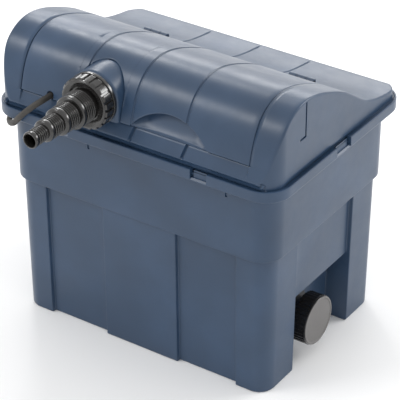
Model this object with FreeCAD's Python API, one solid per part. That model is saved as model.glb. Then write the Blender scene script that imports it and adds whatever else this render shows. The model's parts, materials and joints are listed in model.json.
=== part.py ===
import FreeCAD, Part
import math
import os

# Flow-through pond filter box with a built-in UV clarifier.
# Units are millimetres.  +X runs along the long front side to the drain end, -Y is the
# front with the hose inlet, +Z is up.  The origin is the centre of the footprint, on the floor.

V = FreeCAD.Vector
X_AXIS, Y_AXIS, Z_AXIS = V(1, 0, 0), V(0, 1, 0), V(0, 0, 1)

# ---------------------------------------------------------------- driving dimensions
TOUCH_GAP = 0.3             # running gap between pieces that move past each other

# tank: a drafted box with a wider band at its top
TANK_HALF_X = 169.3         # half length at the floor
TANK_HALF_Y = 120.0         # half width at the floor
TANK_DRAFT = 2.6            # how much each half size grows up to the band
TANK_CORNER = 20.0
TANK_WALL = 3.0
BAND_Z = 180.0              # underside of the band
BAND_STEP = 5.4             # how far the band stands out
BAND_DRAFT = 0.6
PANEL_DEPTH = 5.0           # recessed panels between the corner posts
FRONT_POST_X = 130.0        # inner edge of the corner posts on the long sides
CENTRE_POST_X = 50.0        # half width of the centre post
SIDE_POST_Y = 60.0          # inner edge of the corner posts on the ends
ALCOVE_DEPTH = 30.0
ALCOVE_Z = 96.0

# snap windows through the front of the lid's skirt, and small pips in the band below it
SNAP_X = (93.0, -91.4)
SNAP_WIDE = 20.8
SNAP_SILL = 1.6             # strip of skirt left under each window
PIP_X = (121.0, -62.0)
PIP_WIDE = 2.2
PIP_HIGH = 5.0

# rim joint between tank and lid
RIM_Z = 279.1               # top face of the lid's rim
RIM_DEPTH = 13.5            # height of the lid's skirt
RIM_OVERHANG = 12.4         # lid rim beyond the tank band
RIM_CORNER = 32.0
LID_WALL = 3.0
SEAL_THICK = 1.6
BAND_HALF_X = TANK_HALF_X + TANK_DRAFT + BAND_STEP
BAND_HALF_Y = TANK_HALF_Y + TANK_DRAFT + BAND_STEP
RIM_HALF_X = BAND_HALF_X + BAND_DRAFT + RIM_OVERHANG
RIM_HALF_Y = BAND_HALF_Y + BAND_DRAFT + RIM_OVERHANG

# lid and cover: one long profile, front to rear, as (share of the rim's half width,
# height above the rim)
HUMP_SHAPE = [
    (-0.93617, 22.4), (-0.87943, 48.7), (-0.77021, 71.7), (-0.64184, 81.9), (-0.51348, 84.5),
    (-0.38014, 82.1), (-0.10993, 68.7), (0.12695, 52.0), (0.29787, 35.2), (0.43333, 23.5),
    (0.61348, 15.1), (0.93404, 7.9),
]
HUMP = [(share * RIM_HALF_Y, RIM_Z + rise) for share, rise in HUMP_SHAPE]
PARTING_Z = RIM_Z + 22.4    # lower edge of the hinged cover
LEDGE_FOOT_Y = 4.0 - RIM_HALF_Y     # the ledge below the cover leans out to here
LEDGE_FOOT_Z = RIM_Z + 6.9
END_PLANE_X = RIM_HALF_X - 5.9      # outer faces of the lid's two end sections
LID_PLAN_CORNER = 27.0
COVER_HALF_X = END_PLANE_X - 32.6
COVER_WALL = 2.5
COVER_REAR_Y = 0.40567 * RIM_HALF_Y
SEAM = 0.6
RIB_GROOVES_X = (-68.7, 0.0, 68.7)
GROOVE_WIDE = 1.8
GROOVE_DEEP = 1.2
TRAY_Z = RIM_Z + 1.9        # underside of the tray that carries the UV unit

NOTCH_Y = 1.0               # thumb notches in the rim's two ends
NOTCH_WIDE = 29.4
SLIT_WIDE = 1.6             # hooked groove on each end face
SLIT_HOOK = 7.8
SLIT_FOOT_Z = RIM_Z + 41.5

# cover hinge
HINGE_Y = COVER_REAR_Y + 1.4
HINGE_Z = RIM_Z + 27.1
KNUCKLE_R = 3.2
PIN_R = 1.5
HINGE_X = 100.0
KNUCKLE_LONG = 12.0         # the cover's knuckle
LID_KNUCKLE_LONG = 10.0     # each of the lid's two beside it

# finger scoop at the cover's lower edge
SCOOP_X = 47.7
SCOOP_CHORD = 100.2
SCOOP_RISE = 25.0
SCOOP_DEEP = 20.0

# UV unit
UVC_Y = LEDGE_FOOT_Y + 65.0
UVC_Z = RIM_Z + 45.4
UVC_R = 25.0
UVC_WALL = 3.0
UVC_LEFT = -85.0
UVC_RIGHT = 130.0
FLANGE_R = UVC_R + 4.0
FLANGE_THICK = 4.0
HEAD_R = UVC_R + 2.5
HEAD_LEFT = -147.0
RING_R = UVC_R + 8.0
SLEEVE_R = 15.5
CLAMP_X = (-14.0, 62.0)
CLAMP_WIDE = 14.0
CLAMP_FOOT_Y = UVC_R + 8.0  # screws stand this far from the tube's axis
OUTLET_PIPE_X = 108.0
OUTLET_PIPE_R = 19.0
OUTLET_PIPE_FOOT = RIM_Z - 43.1

# inlet: threaded spigot, union nut and stepped hose tail, all on one axis along -Y
INLET_X = -47.0
SPIGOT_R = 23.9
SPIGOT_BORE = 18.5
SPIGOT_END_Y = LEDGE_FOOT_Y - 9.6
COLLAR_R = 31.5
NUT_R = 31.1
NUT_BACK_Y = LEDGE_FOOT_Y + 1.8
NUT_FRONT_Y = NUT_BACK_Y - 19.8
NUT_RIBS = 20
TAIL_END_Y = NUT_FRONT_Y - 93.5
TAIL_STEPS = (19.7, 16.0, 12.7, 9.6)
TAIL_WALL = 2.5
TAIL_FLANGE_R = 22.6
SEAL_RING_THICK = 2.0

# drain in the alcove, axis along +X
DRAIN_Y = -17.4
DRAIN_Z = 47.5
DRAIN_R = 20.0
DRAIN_BORE = 16.0
CAP_R = 30.2
CAP_LEFT = TANK_HALF_X - 13.5
CAP_RIGHT = TANK_HALF_X + 7.5
CAP_RIBS = 36
STUB_END_X = TANK_HALF_X - 0.3

# outlet on the left end wall
OUTLET_Y = 30.0
OUTLET_Z = RIM_Z - 62.1
OUTLET_R = 25.0
OUTLET_BORE = 22.0
OUTLET_REACH = 44.0

# filter media
FOAM_THICK = 38.0
FOAM_HALF_Y = TANK_HALF_Y - 9.5
FOAM_Z = (6.0, RIM_Z - 57.1)
FOAM_RIGHT = 95.4
GRID_THICK = 2.5

# media basket in the clean chamber
BASKET_LEFT = -146.0
BASKET_RIGHT = FOAM_RIGHT - 4 * (FOAM_THICK + TOUCH_GAP) - GRID_THICK - 11.7
BASKET_REAR_Y = -12.0
BASKET_WIDE = 92.0
BASKET_TOP_Z = 118.0
BASKET_WALL = 2.0
CERAMIC_R = 7.8
CERAMIC_BORE = 4.2
CERAMIC_LONG = 15.0

# power cable
CABLE_R = 3.5
CABLE_NOTCH_R = CABLE_R + 2.0       # arched notch in the cover's lower edge
LEFT_X = -RIM_HALF_X         # the cable goes round the rim's front left corner
FRONT_Y = -RIM_HALF_Y
REAR_Y = TANK_HALF_Y
CABLE_EXIT = (-111.0, FRONT_Y + 13.0, RIM_Z + 26.2)
CABLE_UPPER = [
    CABLE_EXIT, (-111.0, FRONT_Y, RIM_Z + 26.2), (-117.0, FRONT_Y - 10.0, RIM_Z + 21.7),
    (-130.0, FRONT_Y - 12.5, RIM_Z + 9.4), (LEFT_X + 48.3, FRONT_Y - 9.5, RIM_Z - 3.1),
    (LEFT_X + 41.2, FRONT_Y - 6.5, RIM_Z - 10.7),
]
CABLE_LOWER = [
    (LEFT_X + 38.3, FRONT_Y - 5.3, RIM_Z - 14.1), (LEFT_X + 27.3, FRONT_Y + 1.3, RIM_Z - 21.1),
    (LEFT_X + 16.3, FRONT_Y + 12.5, RIM_Z - 23.6), (LEFT_X + 7.1, FRONT_Y + 29.2, RIM_Z - 28.9),
    (LEFT_X + 2.8, FRONT_Y + 47.0, RIM_Z - 42.6),
    (LEFT_X + 1.3, -78.0, 205.0), (LEFT_X + 0.3, -66.0, 165.0), (LEFT_X + 1.3, -56.0, 118.0),
    (LEFT_X + 0.3, -46.0, 66.0), (LEFT_X - 2.7, -28.0, 27.0), (LEFT_X - 9.7, 6.0, 5.5),
    (LEFT_X - 15.7, 46.0, 3.8), (LEFT_X - 12.7, REAR_Y - 32.0, 4.2),
    (LEFT_X + 0.3, REAR_Y + 1.0, 3.8), (-166.0, REAR_Y + 19.0, 4.0),
    (-141.0, REAR_Y + 25.0, 4.0), (-115.5, REAR_Y + 23.8, 4.0),
]
COIL_X = -88.0
COIL_Y = REAR_Y + 76.0
COIL_MEAN_R = 42.0
COIL_BAND = 28.0
COIL_BASE_Z = 0.4
COIL_OUTER_TURN = 10.5      # the outermost turn lies this far outside the mean
TAIL_Z = 18.6               # height of the plug's axis
PLUG_X = 2.0
PLUG_R = 18.2

# ---------------------------------------------------------------- derived places
TANK_TOP_HALF_X = TANK_HALF_X + TANK_DRAFT
TANK_TOP_HALF_Y = TANK_HALF_Y + TANK_DRAFT
RIM_LOW_Z = RIM_Z - RIM_DEPTH
PIP_Z = RIM_Z - 27.1
PLATE_LOW_Z = RIM_Z - LID_WALL
TANK_FLANGE_TOP = PLATE_LOW_Z - SEAL_THICK - TOUCH_GAP
TANK_FLANGE_GAP = 1.2       # side play between the tank's flange and the lid's skirt
TRAY_TOP = TRAY_Z + LID_WALL
SCOOP_R = (SCOOP_CHORD ** 2 / 4 + SCOOP_RISE ** 2) / (2 * SCOOP_RISE)
FOOT_Z = -1.0               # cuts through the floor start here
ABOVE_Z = RIM_Z + 140.0     # clear above everything

os.makedirs("parts", exist_ok=True)


# ---------------------------------------------------------------- helpers
def save(name, shape):
    """Write one node."""
    shape.exportStep("parts/%s.step" % name)


def box(x0, x1, y0, y1, z0, z1):
    """A block between two corners."""
    return Part.makeBox(x1 - x0, y1 - y0, z1 - z0, V(x0, y0, z0))


def rod(centre, axis, radius, length):
    """A cylinder that starts at centre and runs along axis."""
    return Part.makeCylinder(radius, length, centre, axis)


def tube(centre, axis, outer, inner, length):
    """A straight pipe."""
    bore = rod(centre - axis * 1.0, axis, inner, length + 2.0)
    return rod(centre, axis, outer, length).cut(bore)


def cone(centre, axis, r0, r1, length):
    """A tapered rod."""
    return Part.makeCone(r0, r1, length, centre, axis)


def fuse(shapes):
    """Join overlapping shapes into one clean solid."""
    return shapes[0].multiFuse(shapes[1:]).removeSplitter()


def rounded_wire(half_x, half_y, corner, z):
    """A rounded rectangle about the origin."""
    x, y, r = half_x, half_y, corner
    k = r * (1 - math.sqrt(0.5))
    edges = []
    for sx, sy, flip in ((1, -1, 0), (1, 1, 1), (-1, 1, 0), (-1, -1, 1)):
        a, b = V(sx * (x - r), sy * y, z), V(sx * x, sy * (y - r), z)
        mid = V(sx * (x - k), sy * (y - k), z)
        edges.append((b, mid, a) if flip else (a, mid, b))
    wire = []
    for i, (a, mid, b) in enumerate(edges):
        wire.append(Part.Arc(a, mid, b).toShape())
        wire.append(Part.LineSegment(b, edges[(i + 1) % 4][0]).toShape())
    return Part.Wire(wire)


def slab(half_x, half_y, corner, z0, z1):
    """A rounded rectangular prism."""
    return Part.Face(rounded_wire(half_x, half_y, corner, z0)).extrude(V(0, 0, z1 - z0))


def drafted(half_x, half_y, corner, z0, z1, grow):
    """A rounded rectangular prism whose sides lean out by grow."""
    low = rounded_wire(half_x, half_y, corner, z0)
    high = rounded_wire(half_x + grow, half_y + grow, corner, z1)
    return Part.makeLoft([low, high], True, True)


def prism_x(points, x0, x1):
    """A polygon of (y, z) points carried along X."""
    wire = Part.makePolygon([V(x0, y, z) for y, z in points + points[:1]])
    return Part.Face(wire).extrude(V(x1 - x0, 0, 0))


def prism_y(points, y0, y1):
    """A polygon of (x, z) points carried along Y."""
    wire = Part.makePolygon([V(x, y0, z) for x, z in points + points[:1]])
    return Part.Face(wire).extrude(V(0, y1 - y0, 0))


def turned(points, centre, axis):
    """A closed outline of (distance along axis, radius) turned about the axis."""
    side = Z_AXIS
    wire = Part.makePolygon([centre + axis * s + side * r for s, r in points + points[:1]])
    return Part.Face(wire).revolve(centre, axis, 360)


def hump_body(inset, x0, x1, low_z):
    """The lid's long profile, drawn in by inset and carried along X down to low_z."""
    curve = Part.BSplineCurve()
    curve.interpolate([V(0, y, z) for y, z in HUMP])
    points = []
    for y, z in HUMP:
        tangent = curve.tangent(curve.parameter(V(0, y, z)))[0]
        points.append(V(x0, y + tangent.z * inset, z - tangent.y * inset))
    top = Part.BSplineCurve()
    top.interpolate(points)
    foot_y = LEDGE_FOOT_Y + inset
    rear_y = HUMP[-1][0] + 4.3 - inset
    rest = [
        points[-1], V(x0, rear_y, RIM_Z + 4.0 - inset), V(x0, rear_y, low_z),
        V(x0, foot_y + 2.5, low_z), V(x0, foot_y + 2.5, LEDGE_FOOT_Z - 3.0),
        V(x0, foot_y, LEDGE_FOOT_Z), points[0],
    ]
    lines = [Part.LineSegment(a, b).toShape() for a, b in zip(rest, rest[1:])]
    face = Part.Face(Part.Wire([top.toShape()] + lines))
    return face.extrude(V(x1 - x0, 0, 0))


def route_tube(points, radius, label):
    """A round cable along straight runs joined by tangent arcs; prints each arc's radius."""
    pts = [V(*p) for p in points]
    edges, here, radii = [], pts[0], []
    for a, b, c in zip(pts, pts[1:], pts[2:]):
        u, w = (b - a).normalize(), (c - b).normalize()
        short = min((b - a).Length, (c - b).Length)
        half = u.getAngle(w) / 2
        back = 0.45 * short
        start, stop = b - u * back, b + w * back
        bulge = (w - u).normalize()
        arc_r = back / math.tan(half)
        mid = b + bulge * (arc_r / math.cos(half) - arc_r)
        edges += [Part.LineSegment(here, start).toShape(), Part.Arc(start, mid, stop).toShape()]
        radii.append(round(arc_r, 1))
        here = stop
    edges.append(Part.LineSegment(here, pts[-1]).toShape())
    path = Part.Wire(edges)
    ring = Part.Wire(Part.makeCircle(radius, pts[0], pts[1] - pts[0]))
    pipe = path.makePipeShell([ring], True, False)
    expected = math.pi * radius ** 2 * path.Length
    print(label, "length", round(path.Length, 1), "radii", radii,
          "volume / (section x length)", round(pipe.Volume / expected, 4))
    return pipe


# ---------------------------------------------------------------- tank
def panel_cuts(depth, proud):
    """Wedges that follow the draft: what the recessed panels take out of the box."""
    low_y, high_y = TANK_HALF_Y - depth, TANK_TOP_HALF_Y - depth
    low_x, high_x = TANK_HALF_X - depth, TANK_TOP_HALF_X - depth
    out, top = 40.0, BAND_Z - 1.2 + proud
    shapes = []
    for s in (-1, 1):
        wedge = [(s * low_y, FOOT_Z), (s * high_y, top),
                 (s * (high_y + out), top), (s * (low_y + out), FOOT_Z)]
        shapes.append(prism_x(wedge, CENTRE_POST_X - proud, FRONT_POST_X + proud))
        shapes.append(prism_x(wedge, -FRONT_POST_X - proud, -CENTRE_POST_X + proud))
        wedge = [(s * low_x, FOOT_Z), (s * high_x, top),
                 (s * (high_x + out), top), (s * (low_x + out), FOOT_Z)]
        shapes.append(prism_y(wedge, -SIDE_POST_Y - proud, SIDE_POST_Y + proud))
    return shapes


def tank_shell():
    """Box, band and flange, hollow, with the alcove, snap windows and pipe holes."""
    lower = drafted(TANK_HALF_X, TANK_HALF_Y, TANK_CORNER, 0, BAND_Z, TANK_DRAFT)
    lower = lower.cut(panel_cuts(PANEL_DEPTH, 0))
    upper = drafted(BAND_HALF_X, BAND_HALF_Y, TANK_CORNER + 4, BAND_Z, TANK_FLANGE_TOP, BAND_DRAFT)
    flange_x = RIM_HALF_X - LID_WALL - TANK_FLANGE_GAP
    flange_y = RIM_HALF_Y - LID_WALL - TANK_FLANGE_GAP
    flange = slab(flange_x, flange_y, RIM_CORNER - 3, TANK_FLANGE_TOP - TANK_WALL, TANK_FLANGE_TOP)
    outer = fuse([lower, upper, flange])
    w = TANK_WALL
    pit = drafted(TANK_HALF_X - w, TANK_HALF_Y - w, TANK_CORNER - w, w, BAND_Z + w, TANK_DRAFT)
    pit = pit.cut(panel_cuts(PANEL_DEPTH + w, w))
    pit = pit.cut(box(TANK_HALF_X - ALCOVE_DEPTH - w, TANK_HALF_X + 20, -SIDE_POST_Y - w,
                      SIDE_POST_Y + w, FOOT_Z, ALCOVE_Z + w))
    top_pit = drafted(BAND_HALF_X - w, BAND_HALF_Y - w, TANK_CORNER + 1, BAND_Z + w,
                      TANK_FLANGE_TOP + 1, BAND_DRAFT)
    shell = outer.cut(pit.fuse(top_pit))
    shell = shell.cut(box(TANK_HALF_X - ALCOVE_DEPTH, TANK_HALF_X + 20, -SIDE_POST_Y, SIDE_POST_Y,
                          FOOT_Z, ALCOVE_Z))
    cuts = []
    front = -BAND_HALF_Y
    for x in PIP_X:
        cuts.append(box(x - PIP_WIDE / 2, x + PIP_WIDE / 2, front - 5, front + 1.4,
                        PIP_Z, PIP_Z + PIP_HIGH))
    cuts.append(rod(V(-BAND_HALF_X - 5, OUTLET_Y, OUTLET_Z), X_AXIS, OUTLET_R + TOUCH_GAP, 20))
    cuts.append(rod(V(TANK_HALF_X - ALCOVE_DEPTH - 10, DRAIN_Y, DRAIN_Z), X_AXIS,
                    DRAIN_R + TOUCH_GAP, 20))
    return shell.cut(cuts)


def ring_nut(centre, axis, outer, inner, length, flats):
    """A many-sided lock nut."""
    points = []
    side = Y_AXIS if abs(axis.x) > 0.5 else X_AXIS
    up = axis.cross(side)
    for i in range(flats + 1):
        a = 2 * math.pi * i / flats
        points.append(centre + side * (outer * math.cos(a)) + up * (outer * math.sin(a)))
    body = Part.Face(Part.makePolygon(points)).extrude(axis * length)
    return body.cut(rod(centre - axis, axis, inner, length + 2))


def drain_parts():
    """Threaded stub through the alcove's back wall, its gasket and the nut inside."""
    wall_x = TANK_HALF_X - ALCOVE_DEPTH
    at = lambda x: V(x, DRAIN_Y, DRAIN_Z)
    gasket = 1.5
    flange = rod(at(wall_x + gasket), X_AXIS, CAP_R - 3, 3)
    stub = rod(at(wall_x - 11), X_AXIS, DRAIN_R, STUB_END_X - wall_x + 11)
    stub = fuse([stub, flange]).cut(rod(at(wall_x - 12), X_AXIS, DRAIN_BORE, 60))
    save("drain_stub", stub)
    save("drain_gasket", tube(at(wall_x), X_AXIS, CAP_R - 3.4, DRAIN_R, gasket))
    save("drain_lock_nut", ring_nut(at(wall_x - TANK_WALL - 6), X_AXIS, 27, DRAIN_R, 6, 8))


def drain_cap_parts():
    """Ribbed screw cap with a raised rim round its face, and the disc seal inside it."""
    at = lambda x: V(x, DRAIN_Y, DRAIN_Z)
    long = CAP_RIGHT - CAP_LEFT
    body = rod(at(CAP_LEFT), X_AXIS, CAP_R - 1.1, long - 1.0)
    face = tube(at(CAP_RIGHT - 2.6), X_AXIS, CAP_R - 0.6, CAP_R - 3.0, 2.6)
    ribs = []
    for i in range(CAP_RIBS):
        rib = box(CAP_LEFT, CAP_RIGHT - 2.6, DRAIN_Y - 1.1, DRAIN_Y + 1.1,
                  DRAIN_Z + CAP_R - 3, DRAIN_Z + CAP_R - 0.1)
        rib.rotate(at(0), X_AXIS, 360.0 * i / CAP_RIBS)
        ribs.append(rib)
    inside = STUB_END_X + SEAL_RING_THICK + 2 * TOUCH_GAP
    well = rod(at(CAP_LEFT - 1), X_AXIS, DRAIN_R + 0.35, inside - CAP_LEFT + 1)
    save("drain_cap", fuse([body, face] + ribs).cut(well))
    save("drain_seal", rod(at(STUB_END_X + TOUCH_GAP), X_AXIS, DRAIN_R - 0.5, SEAL_RING_THICK))


def outlet_parts():
    """Return spigot on the left end: pipe, outer flange, gasket and inner lock nut."""
    wall = BAND_HALF_X + BAND_DRAFT
    at = lambda x: V(-x, OUTLET_Y, OUTLET_Z)
    gasket = 2.0
    pipe = rod(at(wall + OUTLET_REACH), X_AXIS, OUTLET_R, OUTLET_REACH + 14)
    flange = rod(at(wall + gasket + 4), X_AXIS, OUTLET_R + 7.5, 4)
    spigot = fuse([pipe, flange])
    spigot = spigot.cut(rod(at(wall + OUTLET_REACH + 1), X_AXIS, OUTLET_BORE, OUTLET_REACH + 16))
    save("outlet_spigot", spigot)
    save("outlet_gasket", tube(at(wall + gasket), X_AXIS, OUTLET_R + 6.5, OUTLET_R, gasket))
    inner_wall = BAND_HALF_X - TANK_WALL
    save("outlet_lock_nut", ring_nut(at(inner_wall), X_AXIS, OUTLET_R + 8, OUTLET_R, 7, 8))


def grid_plate(x, half_y, z0, z1):
    """A divider with rows of square openings."""
    plate = box(x, x + GRID_THICK, -half_y, half_y, z0, z1)
    pitch_y, pitch_z, side = 26.0, 27.0, 19.0
    cuts = []
    for i in range(-4, 4):
        for j in range(7):
            y = (i + 0.5) * pitch_y
            z = z0 + 16 + j * pitch_z
            cuts.append(box(x - 1, x + GRID_THICK + 1, y - side / 2, y + side / 2, z, z + side))
    return plate.cut(cuts)


def foam_parts():
    """Four foam blocks between two grids, each with a pull bar along its top."""
    z0, z1 = FOAM_Z
    save("inlet_grid", grid_plate(FOAM_RIGHT + TOUCH_GAP, FOAM_HALF_Y, TANK_WALL, z1 + 8))
    pitch = FOAM_THICK + TOUCH_GAP
    for i in range(4):
        right = FOAM_RIGHT - i * pitch
        left = right - FOAM_THICK
        foam = box(left, right, -FOAM_HALF_Y + 1, FOAM_HALF_Y - 1, z0, z1)
        flutes = [rod(V(right + 2.5, y, z0 - 1), Z_AXIS, 7, z1 - z0 + 2)
                  for y in range(-88, 89, 22)]
        save("foam_block_%d" % (i + 1), foam.cut(flutes))
        bar = box(left + 5, left + 23, -30, 30, z1, z1 + 3)
        loop = tube(V(left + 10, 0, z1 + 3), X_AXIS, 16, 11.5, 8)
        loop = loop.common(box(left, right, -20, 20, z1 + 2, z1 + 30))
        save("foam_handle_%d" % (i + 1), fuse([bar, loop]))
    left_face = FOAM_RIGHT - 4 * pitch
    save("outlet_grid", grid_plate(left_face - GRID_THICK, FOAM_HALF_Y, TANK_WALL, z1 + 8))


def media_parts():
    """Open basket in the clean chamber, filled with ceramic rings."""
    x0, x1, z0, z1 = BASKET_LEFT, BASKET_RIGHT, TANK_WALL + 0.2, BASKET_TOP_Z
    y1 = BASKET_REAR_Y
    y0 = y1 - BASKET_WIDE
    wall = BASKET_WALL
    basket = box(x0, x1, y0, y1, z0, z1)
    basket = basket.cut(box(x0 + wall, x1 - wall, y0 + wall, y1 - wall, z0 + wall, z1 + 1))
    slots = []
    for i in range(6):
        z = z0 + 12 + i * 17
        for j in range(int((x1 - x0 - 14) / 20)):
            x = x0 + 10 + j * 20
            slots.append(box(x, x + 14, y0 - 1, y1 + 1, z, z + 9))
        for j in range(4):
            y = y0 + 8 + j * 20
            slots.append(box(x0 - 1, x1 + 1, y, y + 14, z, z + 9))
    save("media_basket", basket.cut(slots))
    rings = []
    across, long = 2 * CERAMIC_R + 0.4, CERAMIC_LONG
    for i in range(int((x1 - x0 - 2 * wall - 3) / (across + 0.6))):
        for j in range(4):
            for k in range(5):
                x = x0 + 5.5 + i * (across + 0.6)
                y = y0 + 12 + j * (across + 4.6)
                z = z0 + wall + 0.4 + k * (long + 1.2)
                rings.append(tube(V(x + across / 2, y + across / 2, z), Z_AXIS,
                                  CERAMIC_R, CERAMIC_BORE, long))
    save("ceramic_rings", Part.makeCompound(rings))


# ---------------------------------------------------------------- lid
def knuckles(which):
    """Hinge barrels with a foot, for the cover (middle) or the lid (outer pair)."""
    half = KNUCKLE_LONG / 2
    spans = [(-half, half)]
    if which == "lid":
        near, far = half + 0.4, half + LID_KNUCKLE_LONG + 0.4
        spans = [(-far, -near), (near, far)]
    shapes = []
    for s in (-1, 1):
        for a, b in spans:
            x0, x1 = s * HINGE_X + a, s * HINGE_X + b
            barrel = rod(V(x0, HINGE_Y, HINGE_Z), X_AXIS, KNUCKLE_R, x1 - x0)
            if which == "cover":
                foot = box(x0, x1, HINGE_Y - 6, HINGE_Y - 1.6, HINGE_Z - 4.6, HINGE_Z)
            else:
                foot = box(x0, x1, HINGE_Y + 0.2, HINGE_Y + KNUCKLE_R, HINGE_Z - 6, HINGE_Z)
            shapes.append(barrel.fuse(foot))
    return shapes


def hinge_clearance(which, radius):
    """Cylinders about the hinge axis that leave room for the other leaf's barrels."""
    half = KNUCKLE_LONG / 2 + 0.4
    spans = [(-half, half)]
    if which == "lid":
        near, far = half - 0.1, half + LID_KNUCKLE_LONG + 0.6
        spans = [(-far, -near), (near, far)]
    shapes = []
    for s in (-1, 1):
        for a, b in spans:
            shapes.append(rod(V(s * HINGE_X + a, HINGE_Y, HINGE_Z), X_AXIS, radius, b - a))
    return shapes


def lid_shell():
    """Rim, two closed end sections, rear deck, front ledge and the tray for the UV unit."""
    w = LID_WALL
    rear_y = HUMP[-1][0] + 6
    outer = hump_body(0, -END_PLANE_X, END_PLANE_X, PLATE_LOW_Z)
    outer = outer.common(slab(END_PLANE_X, rear_y, LID_PLAN_CORNER, PLATE_LOW_Z, ABOVE_Z))
    inner = hump_body(w, -END_PLANE_X + w, END_PLANE_X - w, PLATE_LOW_Z - 5)
    inner = inner.common(slab(END_PLANE_X - w, rear_y - w, LID_PLAN_CORNER - w,
                              PLATE_LOW_Z - 6, ABOVE_Z))
    rim = slab(RIM_HALF_X, RIM_HALF_Y, RIM_CORNER, RIM_LOW_Z, RIM_Z)
    rim = rim.cut(slab(RIM_HALF_X - w, RIM_HALF_Y - w, RIM_CORNER - w, RIM_LOW_Z - 1, PLATE_LOW_Z))
    bay = COVER_HALF_X + SEAM
    walls = []
    for s in (-1, 1):
        x0, x1 = sorted((s * bay, s * (bay + 2.5)))
        walls.append(hump_body(0.0, x0, x1, PLATE_LOW_Z))
    tray = box(-bay - 1, bay + 1, LEDGE_FOOT_Y + 2, COVER_REAR_Y + w, TRAY_Z, TRAY_TOP)
    rear_wall = box(-bay - 1, bay + 1, COVER_REAR_Y + 0.4, COVER_REAR_Y + 0.4 + w, TRAY_Z,
                    PARTING_Z - 0.5)
    shell = fuse([outer.fuse(rim).cut(inner)] + walls + [tray, rear_wall])
    shell = shell.cut(box(-bay, bay, -RIM_HALF_Y - 50, COVER_REAR_Y + 0.3, PARTING_Z, ABOVE_Z))
    cuts = hinge_clearance("cover", KNUCKLE_R + 0.5)
    cuts.append(rod(V(OUTLET_PIPE_X, UVC_Y, TRAY_Z - 5), Z_AXIS, OUTLET_PIPE_R + 1.5, 12))
    for s in (-1, 1):
        x0, x1 = sorted((s * (RIM_HALF_X - 9), s * (RIM_HALF_X + 5)))
        cuts.append(box(x0, x1, NOTCH_Y - NOTCH_WIDE / 2, NOTCH_Y + NOTCH_WIDE / 2,
                        RIM_LOW_Z - 1, RIM_Z + 1))
        x0, x1 = sorted((s * (END_PLANE_X - GROOVE_DEEP), s * (END_PLANE_X + 5)))
        slit_y = UVC_Y - 1.4
        cuts.append(box(x0, x1, slit_y, slit_y + SLIT_WIDE, SLIT_FOOT_Z, ABOVE_Z))
        cuts.append(box(x0, x1, slit_y - SLIT_HOOK, slit_y + SLIT_WIDE, SLIT_FOOT_Z - SLIT_WIDE,
                        SLIT_FOOT_Z))
    for x in SNAP_X:
        cuts.append(box(x - SNAP_WIDE / 2, x + SNAP_WIDE / 2, -RIM_HALF_Y - 1, w + 0.4 - RIM_HALF_Y,
                        RIM_LOW_Z + SNAP_SILL, RIM_Z + 1))
    for x, y in clamp_screw_places():
        cuts.append(rod(V(x, y, TRAY_Z - 1), Z_AXIS, 2.0, 5))
    cuts.append(rod(V(INLET_X, LEDGE_FOOT_Y - 3, UVC_Z), Y_AXIS, SPIGOT_R + TOUCH_GAP, 30))
    shell = shell.cut(cuts)
    shell = fuse([shell] + knuckles("lid"))
    for s in (-1, 1):
        shell = shell.cut(rod(V(s * HINGE_X - 20, HINGE_Y, HINGE_Z), X_AXIS, PIN_R, 40))
    return shell


def lid_seal():
    """Flat gasket between the tank's flange and the lid."""
    x = BAND_HALF_X + 6.5
    y = BAND_HALF_Y + 6.5
    low = PLATE_LOW_Z - SEAL_THICK
    ring = slab(x, y, RIM_CORNER - 5, low, PLATE_LOW_Z)
    return ring.cut(slab(x - 5, y - 5, RIM_CORNER - 9, low - 1, PLATE_LOW_Z + 1))


def scoop_segment(grow, y0, y1):
    """The crescent outline of the finger scoop, carried along Y."""
    radius = SCOOP_R + grow
    centre_z = PARTING_Z + SCOOP_RISE - SCOOP_R
    disc = rod(V(SCOOP_X, y0, centre_z), Y_AXIS, radius, y1 - y0)
    return disc.common(box(SCOOP_X - 90, SCOOP_X + 90, y0, y1, PARTING_Z - 0.1, ABOVE_Z))


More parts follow.
